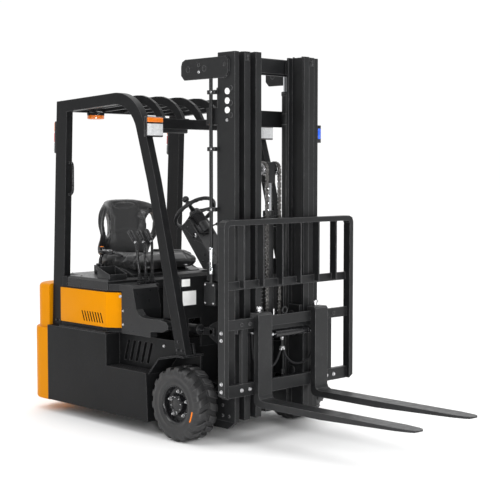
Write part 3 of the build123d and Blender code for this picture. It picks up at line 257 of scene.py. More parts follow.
# Mesh building: everything is drawn in millimetres from the front axle, with one material per face
class Shape:
    def __init__(self):
        self.bm = bmesh.new()
        self.mats = []

    def index(self, mat):
        if mat not in self.mats:
            self.mats.append(mat)
        return self.mats.index(mat)

    def skin(self, rings, mat, loop=False, caps=True):
        # Quads between rings of points; each ring is closed on itself
        i = self.index(mat)
        rows = [[self.bm.verts.new(p) for p in ring] for ring in rings]
        pairs = list(zip(rows, rows[1:]))
        if loop:
            pairs.append((rows[-1], rows[0]))
        for a, b in pairs:
            for k in range(len(a)):
                j = (k + 1) % len(a)
                self.bm.faces.new((a[k], a[j], b[j], b[k])).material_index = i
        if caps and not loop:
            self.bm.faces.new(rows[0]).material_index = i
            self.bm.faces.new(rows[-1]).material_index = i

    def lathe(self, origin, axis, profile, mat, seg=40, loop=False, turn=0.0):
        # Turned form: profile gives radius and height along the axis
        a = Vector(axis).normalized()
        u = a.cross(Z if abs(a.z) < 0.9 else X).normalized()
        v = a.cross(u)
        o = Vector(origin)
        rings = []
        for r, h in profile:
            r = max(r, 0.05)
            rings.append([o + a * h + (u * math.cos(t) + v * math.sin(t)) * r
                          for t in (2 * math.pi * k / seg + turn for k in range(seg))])
        self.skin(rings, mat, loop)

    def block(self, x0, x1, y0, y1, z0, z1, mat, soft=2.0, seg=2, turn=None):
        # Block with softened edges; turn tips it about its own middle
        c = Vector(((x0 + x1) / 2, (y0 + y1) / 2, (z0 + z1) / 2))
        m = Matrix.Translation(c) @ (turn or Matrix.Identity(4)) @ Matrix.Diagonal(
            (abs(x1 - x0), abs(y1 - y0), abs(z1 - z0), 1))
        made = bmesh.ops.create_cube(self.bm, size=1.0, matrix=m)["verts"]
        self.soften(made, mat, soft, seg)

    def soften(self, verts, mat, soft, seg):
        i = self.index(mat)
        edges = list({e for v in verts for e in v.link_edges})
        for f in {f for v in verts for f in v.link_faces}:
            f.material_index = i
        if soft:
            out = bmesh.ops.bevel(self.bm, geom=edges, offset=soft, segments=seg, profile=0.5, affect="EDGES",
                                  clamp_overlap=True)
            for f in out["faces"]:
                f.material_index = i

    def slab(self, points, axis, lo, hi, mat, soft=2.0, seg=2):
        # Flat outline drawn across one axis (x, y or z) and given a thickness
        def at(p, d):
            return {"x": (d, p[0], p[1]), "y": (p[0], d, p[1]), "z": (p[0], p[1], d)}[axis]
        a = [self.bm.verts.new(at(p, lo)) for p in points]
        b = [self.bm.verts.new(at(p, hi)) for p in points]
        self.bm.faces.new(a)
        self.bm.faces.new(list(reversed(b)))
        for k in range(len(a)):
            j = (k + 1) % len(a)
            self.bm.faces.new((a[j], a[k], b[k], b[j]))
        self.soften(a + b, mat, soft, seg)

    def tube(self, points, r, mat, seg=12, steps=8):
        # Round bar along a smooth line through the points; r may be one radius or one for each point
        pts = [Vector(p) for p in points]
        rad = r if isinstance(r, (list, tuple)) else [r] * len(pts)
        line, thick = [], []
        for k in range(len(pts) - 1):
            p0, p1, p2, p3 = pts[max(k - 1, 0)], pts[k], pts[k + 1], pts[min(k + 2, len(pts) - 1)]
            for n in range(steps):
                t = n / steps
                line.append(between(p0, p1, p2, p3, t))
                thick.append(rad[k] + (rad[k + 1] - rad[k]) * t)
        line.append(pts[-1])
        thick.append(rad[-1])
        d = (line[1] - line[0]).normalized()
        u = d.cross(Z if abs(d.z) < 0.9 else X).normalized()
        rings = []
        for k, p in enumerate(line):
            d = (line[min(k + 1, len(line) - 1)] - line[max(k - 1, 0)]).normalized()
            u = (u - d * u.dot(d)).normalized()
            v = d.cross(u)
            rings.append([p + (u * math.cos(t) + v * math.sin(t)) * thick[k]
                          for t in (2 * math.pi * n / seg for n in range(seg))])
        self.skin(rings, mat)

    def bolt(self, p, axis, r=8.0, mat="steel", h=None):
        # Hexagon head on a washer, sitting on the face at p
        h = h or r * 0.8
        self.lathe(p, axis, [(r * 1.25, -0.5), (r * 1.25, 1.0), (r * 1.15, 1.6)], mat, 20)
        self.lathe(p, axis, [(r, 1.4), (r, h), (r * 0.86, h + 1.0)], mat, 6)

    def domed(self, p, axis, r=6.0, mat="steel"):
        # Round head with a socket
        outline = [(r * 1.05, -0.5), (r, 1.6), (r * 0.8, 3.0), (r * 0.45, 3.6), (r * 0.42, 1.8)]
        self.lathe(p, axis, outline, mat, 20)

    def mesh(self, name):
        bmesh.ops.recalc_face_normals(self.bm, faces=self.bm.faces)
        self.bm.transform(MM)
        me = bpy.data.meshes.new(name)
        self.bm.to_mesh(me)
        self.bm.free()
        for m in self.mats:
            me.materials.append(MAT[m])
        return me

    def done(self, name, body, replaces=(), sharp=40, slot="frame_paint"):
        return place(self.mesh(name), name, body, replaces, sharp, slot)


def linked(name, data):
    o = bpy.data.objects.new(name, data)
    bpy.context.scene.collection.objects.link(o)
    return o


def place(me, name, body, replaces, sharp, slot):
    me.polygons.foreach_set("use_smooth", [True] * len(me.polygons))
    me.set_sharp_from_angle(angle=math.radians(sharp))
    o = linked(name, me)
    if body:
        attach(o, body)
    if replaces:
        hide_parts(*replaces)
    return o


# Front wheels: solid tyre with slanting lugs over the shoulders, dished steel rim, hub and nuts
LUGS = 18
NUTS = 5
CAP_SCREWS = 8


def around(centre, radius, count, start=0):
    # Places in a ring about a wheel's axis
    for n in range(count):
        a = math.radians(360 / count * n + start)
        yield centre + Vector((math.cos(a) * radius, 0, math.sin(a) * radius))


def half_ring(points):
    return points + [(r, -h) for r, h in reversed(points)]


def lug(s, centre, row, start):
    # One block of tread, from the middle of the tyre out over its shoulder
    rings = []
    for t, top, base in ((-0.03, 196, 184), (0.0, 200.5, 184), (0.05, 202.4, 184), (0.4, 202.6, 184),
                         (0.72, 202, 183), (0.83, 198.6, 180), (0.92, 191, 172), (0.99, 178, 164),
                         (1.02, 166, 158)):
        y = row * (9 + 65 * t)
        mid = -12 + 24 * t
        w = 20.5 if t > 0.0 else 18.5
        ring = []
        for off, r in ((-w, base), (-w + 0.8, top - 2.6), (-w + 3.4, top), (0, top + 0.3),
                       (w - 3.4, top), (w - 0.8, top - 2.6), (w, base)):
            a = start + (mid + off) / 200
            ring.append(centre + Vector((math.sin(a) * r, y, math.cos(a) * r)))
        rings.append(ring)
    s.skin(rings, "tyre")


def wheel_mark(s, centre, out):
    # Orange dash on the right tyre's wall
    band = []
    for k in range(9):
        a = math.radians(97 + 3 * k)
        d = Vector((math.sin(a), 0, math.cos(a)))
        band.append([centre + out * h + d * r
                     for r, h in ((141, 73), (141.4, 75), (149.4, 75.2), (150, 73))])
    s.skin(band, "orange")


for side, word in ((-1, "right"), (1, "left")):
    centre = Vector((0, side * FRONT_WHEEL_Y, FRONT_WHEEL_Z))
    out = Y * side
    s = Shape()
    s.lathe(centre, out, half_ring([
        (190, 0.01), (190, 56), (188, 63), (182, 69), (173, 73), (162, 75), (156, 75.6), (153, 74.4),
        (134, 73.4), (131, 75), (126, 76), (120, 75.6), (116, 73), (110, 71), (105.5, 69), (104.4, 64),
        (104.4, 0.01)]), "tyre", 72, loop=True)
    for row in SIDES:
        for n in range(LUGS):
            lug(s, centre, row, math.radians(360 / LUGS * (n + (0.5 if row > 0 else 0))))
    if side < 0:
        wheel_mark(s, centre, out)
    s.done("tyre_front_" + word, "front_wheel_" + word, ["front_tyre_" + word], 34, "tyre_rubber")
    s = Shape()
    s.lathe(centre, out, [
        (104, -66), (104, 60), (107, 66), (106.5, 69.5), (103, 70), (98, 67), (94, 62), (92, 54), (91, 40),
        (88, 31), (80, 28), (72, 27.4), (58, 27.8), (54, 30), (51, 36), (49, 52), (47, 58), (43, 61),
        (36, 62), (34.5, 59), (33, 58), (20, 59.4), (6, 60.4), (0, 60.6)], "black", 64)
    s.lathe(centre, out, [(104, -66), (98, -68), (94, -60), (92, 0), (60, 6), (52, -10)], "frame", 48)
    for p in around(centre + out * 27, 70, NUTS, 18):
        s.lathe(p, out, [(15, 0), (15, 2.4), (13, 4)], "steel", 20)
        s.lathe(p, out, [(12, 3.4), (12, 15), (10, 18)], "steel", 6)
        s.lathe(p, out, [(6.4, 16), (6.4, 25), (5.4, 27)], "steel", 14)
    for p in around(centre + out * 60.6, 40, CAP_SCREWS, 10):
        s.domed(p, out, 3.4, "steel")
    s.done("rim_front_" + word, "front_wheel_" + word, ["front_rim_" + word], 34, "frame_paint")

# Rear pair of steered wheels
tyres = Shape()
rims = Shape()
for side in SIDES:
    out = Y * side
    c = Vector((REAR_WHEEL_X, side * REAR_WHEEL_Y, REAR_WHEEL_Z))
    tyres.lathe(c, Y, half_ring([
        (170.4, 0.01), (170.3, 36), (168.4, 46), (163, 53), (152, 56.6), (140, 57), (136, 56), (118, 55),
        (114, 56.4), (106, 55), (101, 52), (100.4, 48), (100.4, 0.01)]), "tyre", 72, loop=True)
    for h in (-28, -10, 10, 28):
        rib = [(170.0, h - 2), (171.5, h - 1.6), (171.5, h + 1.6), (170.0, h + 2)]
        tyres.lathe(c, Y, rib, "tyre", 72, loop=True)
    rims.lathe(c, out, [
        (100, -50), (100, 44), (103, 50), (98, 53), (93, 48), (90, 30), (86, 14), (60, 9), (46, 9.5),
        (44, 26), (40, 30), (24, 31), (0, 31)], "frame", 56)
    rims.lathe(c, out, [
        (100, -50), (94, -52), (88, -40), (86, -9), (46, -9), (44, -28), (30, -30)], "frame", 56)
    for p in around(c + out * 9, 66, NUTS):
        rims.bolt(p, out, 9)
tyres.done("tyres_rear", "rear_wheels", ["rear_tyres"], 34, "tyre_rubber")
rims.done("rims_rear", "rear_wheels", ["rear_rims"], 34, "frame_paint")

# Counterweight casting: rounded tail in two tiers, with the wheel pocket, tow pocket and pin bore cut out
def tail_outline(front, rear, half, corner, seg=14):
    pts = []
    for k in range(seg + 1):
        a = math.pi / 2 * k / seg
        pts.append((rear + corner * (1 - math.sin(a)), -half + corner * (1 - math.cos(a))))
    return [(front, -half)] + pts + [(x, -y) for x, y in reversed(pts)] + [(front, half)]


def loose(shape, name):
    return linked(name, shape.mesh(name))


def baked(o):
    return bpy.data.meshes.new_from_object(o.evaluated_get(bpy.context.evaluated_depsgraph_get()))


def combined(base, others):
    # Mesh of the base with each other object added or cut; cut faces keep the cutter's material
    for other, how in others:
        m = base.modifiers.new(other.name, "BOOLEAN")
        m.operation = how
        m.solver = "EXACT"
        m.material_mode = "TRANSFER"
        m.object = other
    me = baked(base)
    for o in [base] + [other for other, how in others]:
        bpy.data.objects.remove(o)
    return me


def tier(outline, steps):
    s = Shape()
    rings = []
    for inset, z in steps:
        ring = []
        for x, y in outline:
            shrink = 1 - inset / 500
            ring.append(Vector((min(x + inset, -1165.4) if x < -1170 else x, y * shrink, z)))
        rings.append(ring)
    s.skin(rings, "yellow")
    return s


lower = loose(tier(tail_outline(-1165.3, -1370, 502, 130),
                   [(10, 69), (3, 72), (0, 80), (0, 500), (1.2, 505), (4, 508.6), (9, 510)]), "tail_lower")
upper = loose(tier(tail_outline(-1165.3, -1352, 486, 124),
                   [(0, 495), (0, 752), (1.5, 760), (5, 767), (11, 772.4), (20, 775)]), "tail_upper")
inner = Shape()
inner.block(-1166, -823.3, -402.7, 402.7, 312, 528, "yellow", 0)
inner = loose(inner, "tail_inner")
cut = Shape()
cut.lathe((REAR_WHEEL_X, 0, 0), Z, [(248, -10), (248, 372), (129, 372.5), (129, 422), (41.5, 422.5),
                                    (41.5, 498)], "yellow", 72)
cut = loose(cut, "tail_cut")
pocket = Shape()
pocket.block(-1400, -1250, -60, 60, 300, 380, "yellow", 8, 3)
pocket = loose(pocket, "tail_pocket")
pin = Shape()
pin.lathe((-1300, 0, 0), Z, [(14, 275), (14, 766), (22, 778)], "yellow", 32)
pin = loose(pin, "tail_pin")
me = combined(lower, [(upper, "UNION"), (inner, "UNION"), (cut, "DIFFERENCE"), (pocket, "DIFFERENCE"),
                      (pin, "DIFFERENCE")])
place(me, "counterweight_casting", "chassis", ["counterweight"], 30, "casting_yellow")

# Yellow side panels with a row of slanting vents cut through them; the slot walls take the cutter's gloss black,
# a painted shade in the slots
VENTS = 8
plates = Shape()
vents = Shape()
for side in SIDES:
    plates.slab([(-1046, side * 488), (-606, side * 488), (-520, side * 428), (-520, side * 418),
                 (-610, side * 478), (-1046, side * 478)], "z", 562, 764, "yellow", 1.5)
    for n in range(VENTS):
        x = -838 + 25 * n
        slot = [(x + 22, 584), (x + 32, 584), (x + 10, 642), (x, 642)]
        # Black on the slot walls is painted shade
        vents.slab(slot, "y", side * 470, side * 500, "black", 0)
me = combined(loose(plates, "panel_plates"), [(loose(vents, "panel_vents"), "DIFFERENCE")])
place(me, "panel_skins", "chassis", ["side_panels"], 30, "panel_yellow")


# Seat back drawn as a rounded shell with wings and two grip openings, before it is padded
def smooth_loop(points, steps):
    out = []
    for k in range(len(points)):
        p0, p1, p2, p3 = (Vector(points[(k + d) % len(points)]) for d in (-1, 0, 1, 2))
        for n in range(steps):
            out.append(between(p0, p1, p2, p3, n / steps))
    return out


BACK_O, BACK_U, BACK_V = Vector((-1016, 0, 890)), Y, Vector((-0.06, 0, 1)).normalized()
BACK_W = BACK_U.cross(BACK_V)


def on_back(u, v, w):
    return BACK_O + BACK_U * u + BACK_V * v + BACK_W * w


def ease(a, b, t):
    t = min(1, max(0, (t - a) / (b - a)))
    return t * t * (3 - 2 * t)


def back_form():
    half = [(0, 400), (104, 396), (182, 370), (226, 318), (238, 250), (232, 180), (214, 100), (190, 36),
            (140, 20)]
    loop = smooth_loop(half + [(0, 20)] + [(-u, v) for u, v in reversed(half[1:])], 6)
    mid = Vector((0, 210))
    s = Shape()
    rings = []
    grow = [0.02, 0.2, 0.4, 0.6, 0.75, 0.86, 0.93, 0.975, 1.0]
    for face, order in ((1, grow), (-1, list(reversed(grow)))):
        for g in order:
            edge = math.sqrt(max(0, 1 - ((g - 0.86) / 0.14) ** 2)) if g > 0.86 else 1
            ring = []
            for q in loop:
                u, v = mid + (q - mid) * g
                wing = 64 * ease(96, 190, abs(u)) * ease(60, 190, v) * (1 - 0.5 * ease(330, 396, v))
                ring.append(on_back(u, v, wing - 28 + face * 24 * edge))
            rings.append(ring)
    s.skin(rings, "vinyl")
    holes = []
    for side in SIDES:
        h = Shape()
        oval = ((150, 178), (174, 158), (196, 186), (202, 236), (190, 288), (166, 302), (148, 268), (144, 220))
        hole = smooth_loop([(side * a, b) for a, b in oval], 4)
        h.skin([[on_back(u, v, w) for u, v in hole] for w in (-120, 120)], "vinyl")
        holes.append((loose(h, "back_hole"), "DIFFERENCE"))
    return combined(loose(s, "back_form"), holes)


# Seat pads: the form is remeshed, blown up as cloth, held to a few millimetres, and sewn
def pad(node, form, voxel, reach, name, seams, ease_in=14):
    o = linked(name, form)
    m = o.modifiers.new("remesh", "REMESH")
    m.mode = "VOXEL"
    m.voxel_size = voxel
    m = o.modifiers.new("smooth", "SMOOTH")
    m.factor = 0.5
    m.iterations = ease_in
    me = baked(o)
    o.modifiers.clear()
    o.data = me
    rest = [v.co.copy() for v in me.vertices]
    m = o.modifiers.new("cloth", "CLOTH")
    m.settings.quality = 4
    m.settings.mass = 0.3
    m.settings.tension_stiffness = 20
    m.settings.compression_stiffness = 20
    m.settings.use_pressure = True
    m.settings.uniform_pressure_force = 4
    m.settings.effector_weights.gravity = 0
    m.point_cache.frame_start = 1
    m.point_cache.frame_end = 20
    for f in range(1, 21):
        bpy.context.scene.frame_set(f)
    blown = baked(o)
    o.modifiers.clear()
    bpy.context.scene.frame_set(1)
    for v, p, w in zip(me.vertices, rest, blown.vertices):
        d = w.co - p
        if d.length > reach:
            d *= reach / d.length
        v.co = p + d
    me.update()
    normals = [v.normal.copy() for v in me.vertices]
    for v, n in zip(me.vertices, normals):
        v.co -= n * (0.004 * seams(v.co, n) + 0.002)
    m = o.modifiers.new("finer", "SUBSURF")
    m.levels = 1
    m.render_levels = 1
    me = baked(o)
    bpy.data.objects.remove(o)
    me.materials.clear()
    me.materials.append(MAT["vinyl"])
    o = place(me, name, "hood", [node], 60, "seat_vinyl")
    return o


def groove(d, width):
    return math.exp(-(d / width) ** 2)


def cushion_seams(p, n):
    if n.z < 0.25:
        return 0
    y = abs(p.y * 1000)
    return groove(y - 152, 5)


def back_seams(p, n):
    if n.x < 0.25:
        return 0
    z = p.z * 1000
    y = abs(p.y * 1000)
    oval = (y / 84) ** 2 + ((z - 1245) / 22) ** 2
    return max(groove(z - 1088 + y * y * 0.0012, 6) * (y < 92), groove(oval - 1, 0.28) * 1.2, (oval < 1) * 0.5)


cushion = pad("seat_cushion", nodes["seat_cushion"].data.copy(), 0.006, 0.012, "seat_pad", cushion_seams)
pad("seat_backrest", back_form(), 0.0055, 0.007, "back_pad", back_seams, 5)


# Threads along the seams are laid on the finished pads
def stitch(s, target, points, ahead, mat="thread"):
    for p, q in zip(points, points[1:]):
        a, b = Vector(p), Vector(q)
        n = max(1, int((b - a).length / 9))
        for k in range(n):
            ends = []
            for t in ((k + 0.18) / n, (k + 0.82) / n):
                c = MM @ (a + (b - a) * t)
                hit, where, normal, _ = target.ray_cast(c - ahead * 0.25, ahead)
                if hit:
                    ends.append((MM.inverted() @ where) + normal * 0.5)
            if len(ends) == 2 and (ends[0] - ends[1]).length < 14:
                s.tube(ends, 0.9, mat, 5, 1)


s = Shape()
for side in SIDES:
    for off in (-6, 6):
        stitch(s, cushion, [(-985, side * (152 + off), 950), (-650, side * (152 + off), 950)], -Z)
s.done("seat_stitching", "hood", (), 60, None)

# Under the seat: slides, side covers, belt reel and buckle
SEAT_COVER = [(-1008, 836), (-650, 836), (-646, 852), (-700, 872), (-760, 884), (-1008, 886)]
s = Shape()
for side in SIDES:
    s.block(-985, -640, side * 150 - 14, side * 150 + 14, 880, 888, "steel", 1.5)
    s.slab(SEAT_COVER, "y", side * 265 - 3, side * 265 + 3, "plastic", 3)
s.block(-960, -905, -292, -268, 838, 900, "black", 7, 3)
s.tube([(-930, -280, 896), (-926, -279, 930), (-918, -270, 958)], [10, 9, 8], "black", 10)
s.block(-936, -902, -284, -264, 952, 1000, "black", 6, 3)
s.block(-930, -908, -281, -267, 998, 1003, "orange", 2)
s.block(-940, -806, -292, -254, 958, 980, "black", 7, 3)
s.block(-900, -836, -286, -260, 978, 986, "steel", 2)
s.tube([(-812, -272, 970), (-780, -262, 962), (-752, -248, 950)], [9, 7, 6], "black", 10)
s.block(-985, -935, 268, 296, 838, 915, "black", 8, 3)
s.slab([(-975, 905), (-945, 905), (-955, 985), (-985, 985)], "y", 276, 279, "rubber", 1)
s.done("seat_fittings", "hood", (), 40, "hood_plastic")

# Hood: latch plate with its pull, screws, grip bars and an open tray
TRAY_FLOOR = HOOD_TOP - 1
s = Shape()
s.block(-560, -506, -34, 34, HOOD_TOP, HOOD_TOP + 3, "black", 1.5)
s.tube([(-522, -24, HOOD_TOP + 3), (-516, -24, HOOD_TOP + 13), (-516, 24, HOOD_TOP + 13),
        (-522, 24, HOOD_TOP + 3)], 5, "black", 10, 4)
for x, y in ((-630, 300), (-900, 440), (-900, -440), (-650, -440), (-1100, 360), (-1100, -360), (-540, 330)):
    s.domed((x, y, HOOD_TOP), Z, 6, "black")
for k in range(6):
    s.block(-1078 + k * 14, -1071 + k * 14, -130, 130, HOOD_TOP - 0.6, HOOD_TOP + 1.6, "plastic", 1)
for y in (-462, -336):
    s.slab([(-718, TRAY_FLOOR), (-608, TRAY_FLOOR), (-606, 862), (-640, 873), (-718, 902)], "y", y, y + 5,
           "plastic", 1.5)
s.block(-718, -713, -460, -334, TRAY_FLOOR, 902, "plastic", 1.5)
s.block(-612, -607, -460, -334, TRAY_FLOOR, 862, "plastic", 1.5)
s.block(-716, -609, -460, -334, TRAY_FLOOR, TRAY_FLOOR + 6, "rubber", 1)
s.done("hood_fittings", "hood", (), 40, "hood_plastic")

# Steering wheel: grip ring, three spokes, hub cap and spinner knob
HUB = Vector((-387, 0, 1211))
AX = Vector((-0.69, 0, 0.724)).normalized()
LY = AX.cross(Y)
GRIP_R, GRIP_THICK = 126, 11.5
FINGER_GRIPS = 24
KNOB_ANGLE = 218


def wheel_way(degrees):
    # Direction from the hub in the plane of the wheel
    a = math.radians(degrees)
    return Y * math.cos(a) + LY * math.sin(a)


s = Shape()
ring = [(GRIP_R + GRIP_THICK * math.cos(a), GRIP_THICK * math.sin(a))
        for a in (2 * math.pi * k / 16 for k in range(16))]
s.lathe(HUB, AX, ring, "plastic", 72, loop=True)
for k in range(FINGER_GRIPS):
    p = HUB + wheel_way(360 * k / FINGER_GRIPS) * GRIP_R - AX * 10
    s.lathe(p, AX, [(5, -2.6), (4.4, -3.2), (0, -3.4)], "plastic", 10)
for n in range(3):
    d = wheel_way(KNOB_ANGLE + 120 * n)
    w = AX.cross(d)
    rings = []
    for rad, half, h, thick in ((24, 19, 2, 8), (50, 14, 0, 6), (90, 11, -1, 5), (120, 12, 0, 6)):
        c = HUB + d * rad + AX * h
        corners = ((-1, -0.4), (-0.8, -1), (0.8, -1), (1, -0.4), (1, 0.4), (0.8, 1), (-0.8, 1), (-1, 0.4))
        rings.append([c + w * half * x + AX * thick * y for x, y in corners])
    s.skin(rings, "plastic")
s.lathe(HUB, AX, [(30, -18), (34, -14), (34, 6), (31, 11), (26, 12.4), (25, 11.4), (24, 13), (14, 15.4),
                  (0, 16)], "plastic", 40)
knob = HUB + wheel_way(KNOB_ANGLE) * 125
s.lathe(knob, AX, [(14, 8), (14, 14), (7, 16), (7, 22), (13, 24), (19, 30), (20, 38), (18, 47), (12, 53),
                   (4, 55), (0, 55)], "black", 28)
s.done("steering_wheel_grip", "steering_wheel", ["steering_wheel"], 40, "hood_plastic")

# Column: side covers with screws, direction lever, key switch and the bellows below the wheel
s = Shape()
for side in SIDES:
    y = side * 72.2
    s.slab([(-245, 905), (-130, 905), (-240, 1040), (-300, 1060), (-395, 1120), (-405, 1112)], "y",
           y - 0.6, y + 0.6, "plastic", 0.5, 1)
    for x, z in ((-238, 940), (-190, 930), (-310, 1050), (-370, 1130)):
        s.domed((x, y, z), Y * side, 5, "black")
s.tube([(-360, 70, 1120), (-372, 110, 1128), (-384, 168, 1140)], [6, 5, 5], "black", 10)
s.tube([(-384, 168, 1140), (-388, 196, 1144)], [9, 8], "black", 12, 4)
s.lathe((-300, -72, 1085), -Y, [(13, 0), (13, 8), (10, 10), (4, 10.4), (4, 7)], "steel", 24)
s.block(-302, -298, -98, -80, 1072, 1098, "black", 2)
for k in range(5):
    s.lathe(HUB - AX * (30 + 12 * k), AX, [(36, -5), (40, 0), (36, 5)], "rubber", 32)
s.done("column_fittings", "chassis", (), 40, "hood_plastic")

# Screen on the sloping top of the column
SCREEN_OUT, SCREEN_UP = Vector((0.747, 0, 0.664)), Vector((-0.664, 0, 0.747))
s = Shape()
c = Vector((-306, 0, 1120)) + SCREEN_OUT * 8
rings = []
for grow, up in ((0, -10), (0, -1), (-4, 1.2)):
    rings.append([c + Y * (yy * (58 + grow)) + SCREEN_UP * (vv * (34 + grow)) + SCREEN_OUT.normalized() * up
                  for yy, vv in ((-1, -1), (1, -1), (1, 1), (-1, 1))])
s.skin(rings, "black")
s.done("column_screen", "chassis", (), 30, "hood_plastic")

# Goose-necked levers with boots and grips, ribbed pedals
s = Shape()
for yb, yn, yt in ((-345, -352, -356), (-302, -294, -292), (-259, -236, -230)):
    foot = Vector((LEVER_FOOT_X, yb, LEVER_FOOT_Z))
    neck = Vector((-497, yn, 1042))
    top = Vector((-560, yt, 1118))
    s.tube([foot, foot.lerp(neck, 0.5), neck, neck.lerp(top, 0.35)], 8, "black", 12)
    d = (top - neck).normalized()
    s.lathe(neck.lerp(top, 0.02), d, [(9, 0), (10.4, 3), (10.4, 8), (9, 10)], "steel", 20)
    s.lathe(neck.lerp(top, 0.1), d, [(10, 0), (13, 4), (14.4, 16), (13.4, 34), (14.6, 54), (15, 70),
                                     (12, 82), (5, 86), (0, 86.4)], "black", 20)
    s.block(LEVER_FOOT_X - 18, LEVER_FOOT_X + 18, yb - 18, yb + 18, LEVER_FOOT_Z - 6, LEVER_FOOT_Z, "black", 3)
    s.lathe(foot, (neck - foot).normalized(), [(17, 0), (19, 6), (14, 12), (17, 18), (12, 24), (15, 30),
                                               (10, 36), (12, 42), (8, 48), (8, 54)], "rubber", 20)
PEDAL_UP, PEDAL_OUT = Vector((0.734, 0, 0.679)), Vector((-0.679, 0, 0.734))
for y in (-150, 20):
    base = Vector((-303, y, 573))
    for k in range(9):
        c = base + PEDAL_UP * (6 + k * 12) + PEDAL_OUT * 6
        s.block(c.x - 4, c.x + 4, y - 42, y + 42, c.z - 3, c.z + 3, "rubber", 1.5,
                turn=Matrix.Rotation(-0.76, 4, "Y"))
    c = base + PEDAL_UP * 54
    s.block(c.x - 54, c.x + 54, y - 45, y + 45, c.z - 5, c.z + 5, "black", 3,
            turn=Matrix.Rotation(-0.747, 4, "Y"))
    s.tube([c - PEDAL_OUT * 2, c - PEDAL_OUT * 14 + X * 12, (-226, y, 622)], 7, "black", 10)
s.done("control_handles", "chassis", ["driver_controls"], 42, "hood_plastic")

# Floor mat with raised bars, step treads
s = Shape()
s.block(-506, -338, -262, 396, 536, 540, "rubber", 2)
for k in range(15):
    s.block(-500 + k * 11, -495 + k * 11, -256, 390, 539.5, 542, "rubber", 0.8, 1)
for side in SIDES:
    s.block(-584, -250, side * 408, side * 498, 345, 348, "rubber", 1.5)
    for i in range(16):
        for j in range(4):
            stud = (-574 + i * 21, side * (420 + j * 22), 347.5)
            s.lathe(stud, Z, [(7, 0), (6.4, 1.6), (3, 2.2), (0, 2.2)], "rubber", 10)
s.done("floor_mats", "chassis")

# Grab handle and inside mirror
s = Shape()
s.tube([(-1018, -431, 1505), (-1000, -431, 1502), (-990, -431, 1480), (-990, -431, 1412), (-991, -431, 1346),
        (-1002, -431, 1322), (-1021, -431, 1314)], 8, "black", 14)
for x, z in ((-1014, 1504), (-1019, 1315)):
    s.lathe((x - 2, -431, z), X, [(14, 0), (14, 3), (10, 7), (8, 9)], "black", 20)
s.block(-349, -330.6, -300, -100, 1668, 1732, "plastic", 8, 3)
s.block(-350.2, -348.6, -293, -107, 1674, 1726, "glass", 0.6, 1)
s.lathe((-334, -200, 1728), Z, [(8, 0), (6, 6), (6, 20)], "black", 16)
s.done("handle_and_mirror", "chassis", ["cab_fittings"], 45, "frame_paint")

# Work lamps on the header: amber strip above a panel of four lights
s = Shape()
for side in SIDES:
    s.block(-252, -231, side * 370, side * 494, 1640, 1752, "black", 6, 3)
    for k in range(9):
        s.block(-256, -250, side * (378 + k * 13), side * (381 + k * 13), 1650, 1742, "black", 0.8, 1)
    s.block(-233, -224.6, side * 378, side * 486, 1648, 1713, "clear", 3, 2)
    for y in (406, 458):
        for z in (1664, 1697):
            s.lathe((-225, side * y, z), X, [(15, -2), (15, 0.6), (12, 1.8), (0, 2.8)], "clear", 28)
    s.block(-233, -222, side * 378, side * 486, 1720, 1746, "amber", 4, 3)
    s.block(-288, -250, side * 384, side * 412, 1700, 1706, "black", 1.5)
    s.block(-288, -284, side * 380, side * 416, 1694, 1740, "black", 1.5)
    s.block(-262, -250, side * 388, side * 408, 1694, 1720, "black", 2)
    for z in (1716, 1732):
        s.bolt((-284, side * 398, z), X, 5)
    s.bolt((-256, side * 408, 1712), Y * side, 6)
s.done("work_lamps", "chassis", ["front_lamps"], 42, "lamp_lens")

# Tail lamps in three fields, and the beacon on its bracket
s = Shape()
for side in SIDES:
    lean = Matrix.Rotation(math.radians(2.7), 4, "Y")
    s.block(-1131, -1110, side * 425, side * 460, 1560, 1750, "black", 4, 3, lean)
    for z, mat in ((1594, "clear"), (1655, "red"), (1716, "amber")):
        x = -1133 + (z - 1655) * 0.047
        s.block(x - 7, x + 5, side * 428, side * 457, z - 28, z + 28, mat, 3, 3, lean)
s.lathe((-984, -262, 1762), Z, [(30, 2), (44, 0), (50, 3), (51.5, 12), (51, 26), (46, 30)], "amber", 48)
s.lathe((-984, -262, 1786), Z, [(52, 0), (52, 14), (48, 20), (30, 25), (22, 26)], "black", 48)
s.block(-998, -970, -285, -259, 1804, 1848, "black", 2)
s.bolt((-984, -259, 1832), Y, 6)
s.done("rear_lights", "chassis", ["rear_lamps"], 42, "lamp_lens")

# Side lift cylinders and their rods
barrels = Shape()
rods = Shape()
for side in SIDES:
    y = side * LIFT_Y
    p = Vector((LIFT_X, y, 0))
    barrels.lathe(p, Z, [(25, 270.3), (25, 1876), (28, 1879), (28, 1896), (25, 1900), (18, 1900)], "mast", 36)
    barrels.block(78.5, LIFT_X, y - 12, y + 12, 1720, 1770, "mast", 2)
    barrels.lathe(p, Z, [(29, 1715), (29, 1775)], "mast", 36)
    rods.lathe(p, Z, [(17, 320), (17, 1998), (15, 2000)], "chrome", 32)
barrels.done("lift_cylinders", "mast_outer", ["lift_barrels"])
rods.done("lift_plungers", "mast_middle", ["lift_rods"], 40, "rod_chrome")

# Free-lift cylinder with chain anchors and two pipes
s = Shape()
s.lathe((FREE_LIFT_X, 0, 0), Z, [(28, 160.3), (28, 1206), (31, 1209), (31, 1234), (28, 1239), (20, 1240)],
        "mast", 40)
s.block(172, FREE_LIFT_X, -62, 62, 1120, CHAIN_ANCHOR_Z - 0.3, "mast", 3)
for side in SIDES:
    s.lathe((CHAIN_REAR_X, side * CHAIN_Y, 1100), Z, [(7, 0), (7, 46)], "steel", 14)
    s.bolt((CHAIN_REAR_X, side * CHAIN_Y, 1120), -Z, 9)
    for z in (330, 900):
        s.block(230, 238, side * 84, side * 108, z, z + 24, "mast", 2)
    s.tube([(236, side * 96, 250), (236, side * 96, 700), (236, side * 96, 1130), (232, side * 80, 1190),
            (226, side * 34, 1204)], 7, "mast", 12)
s.done("free_lift_cylinder", "mast_inner", ["free_lift_barrel"])

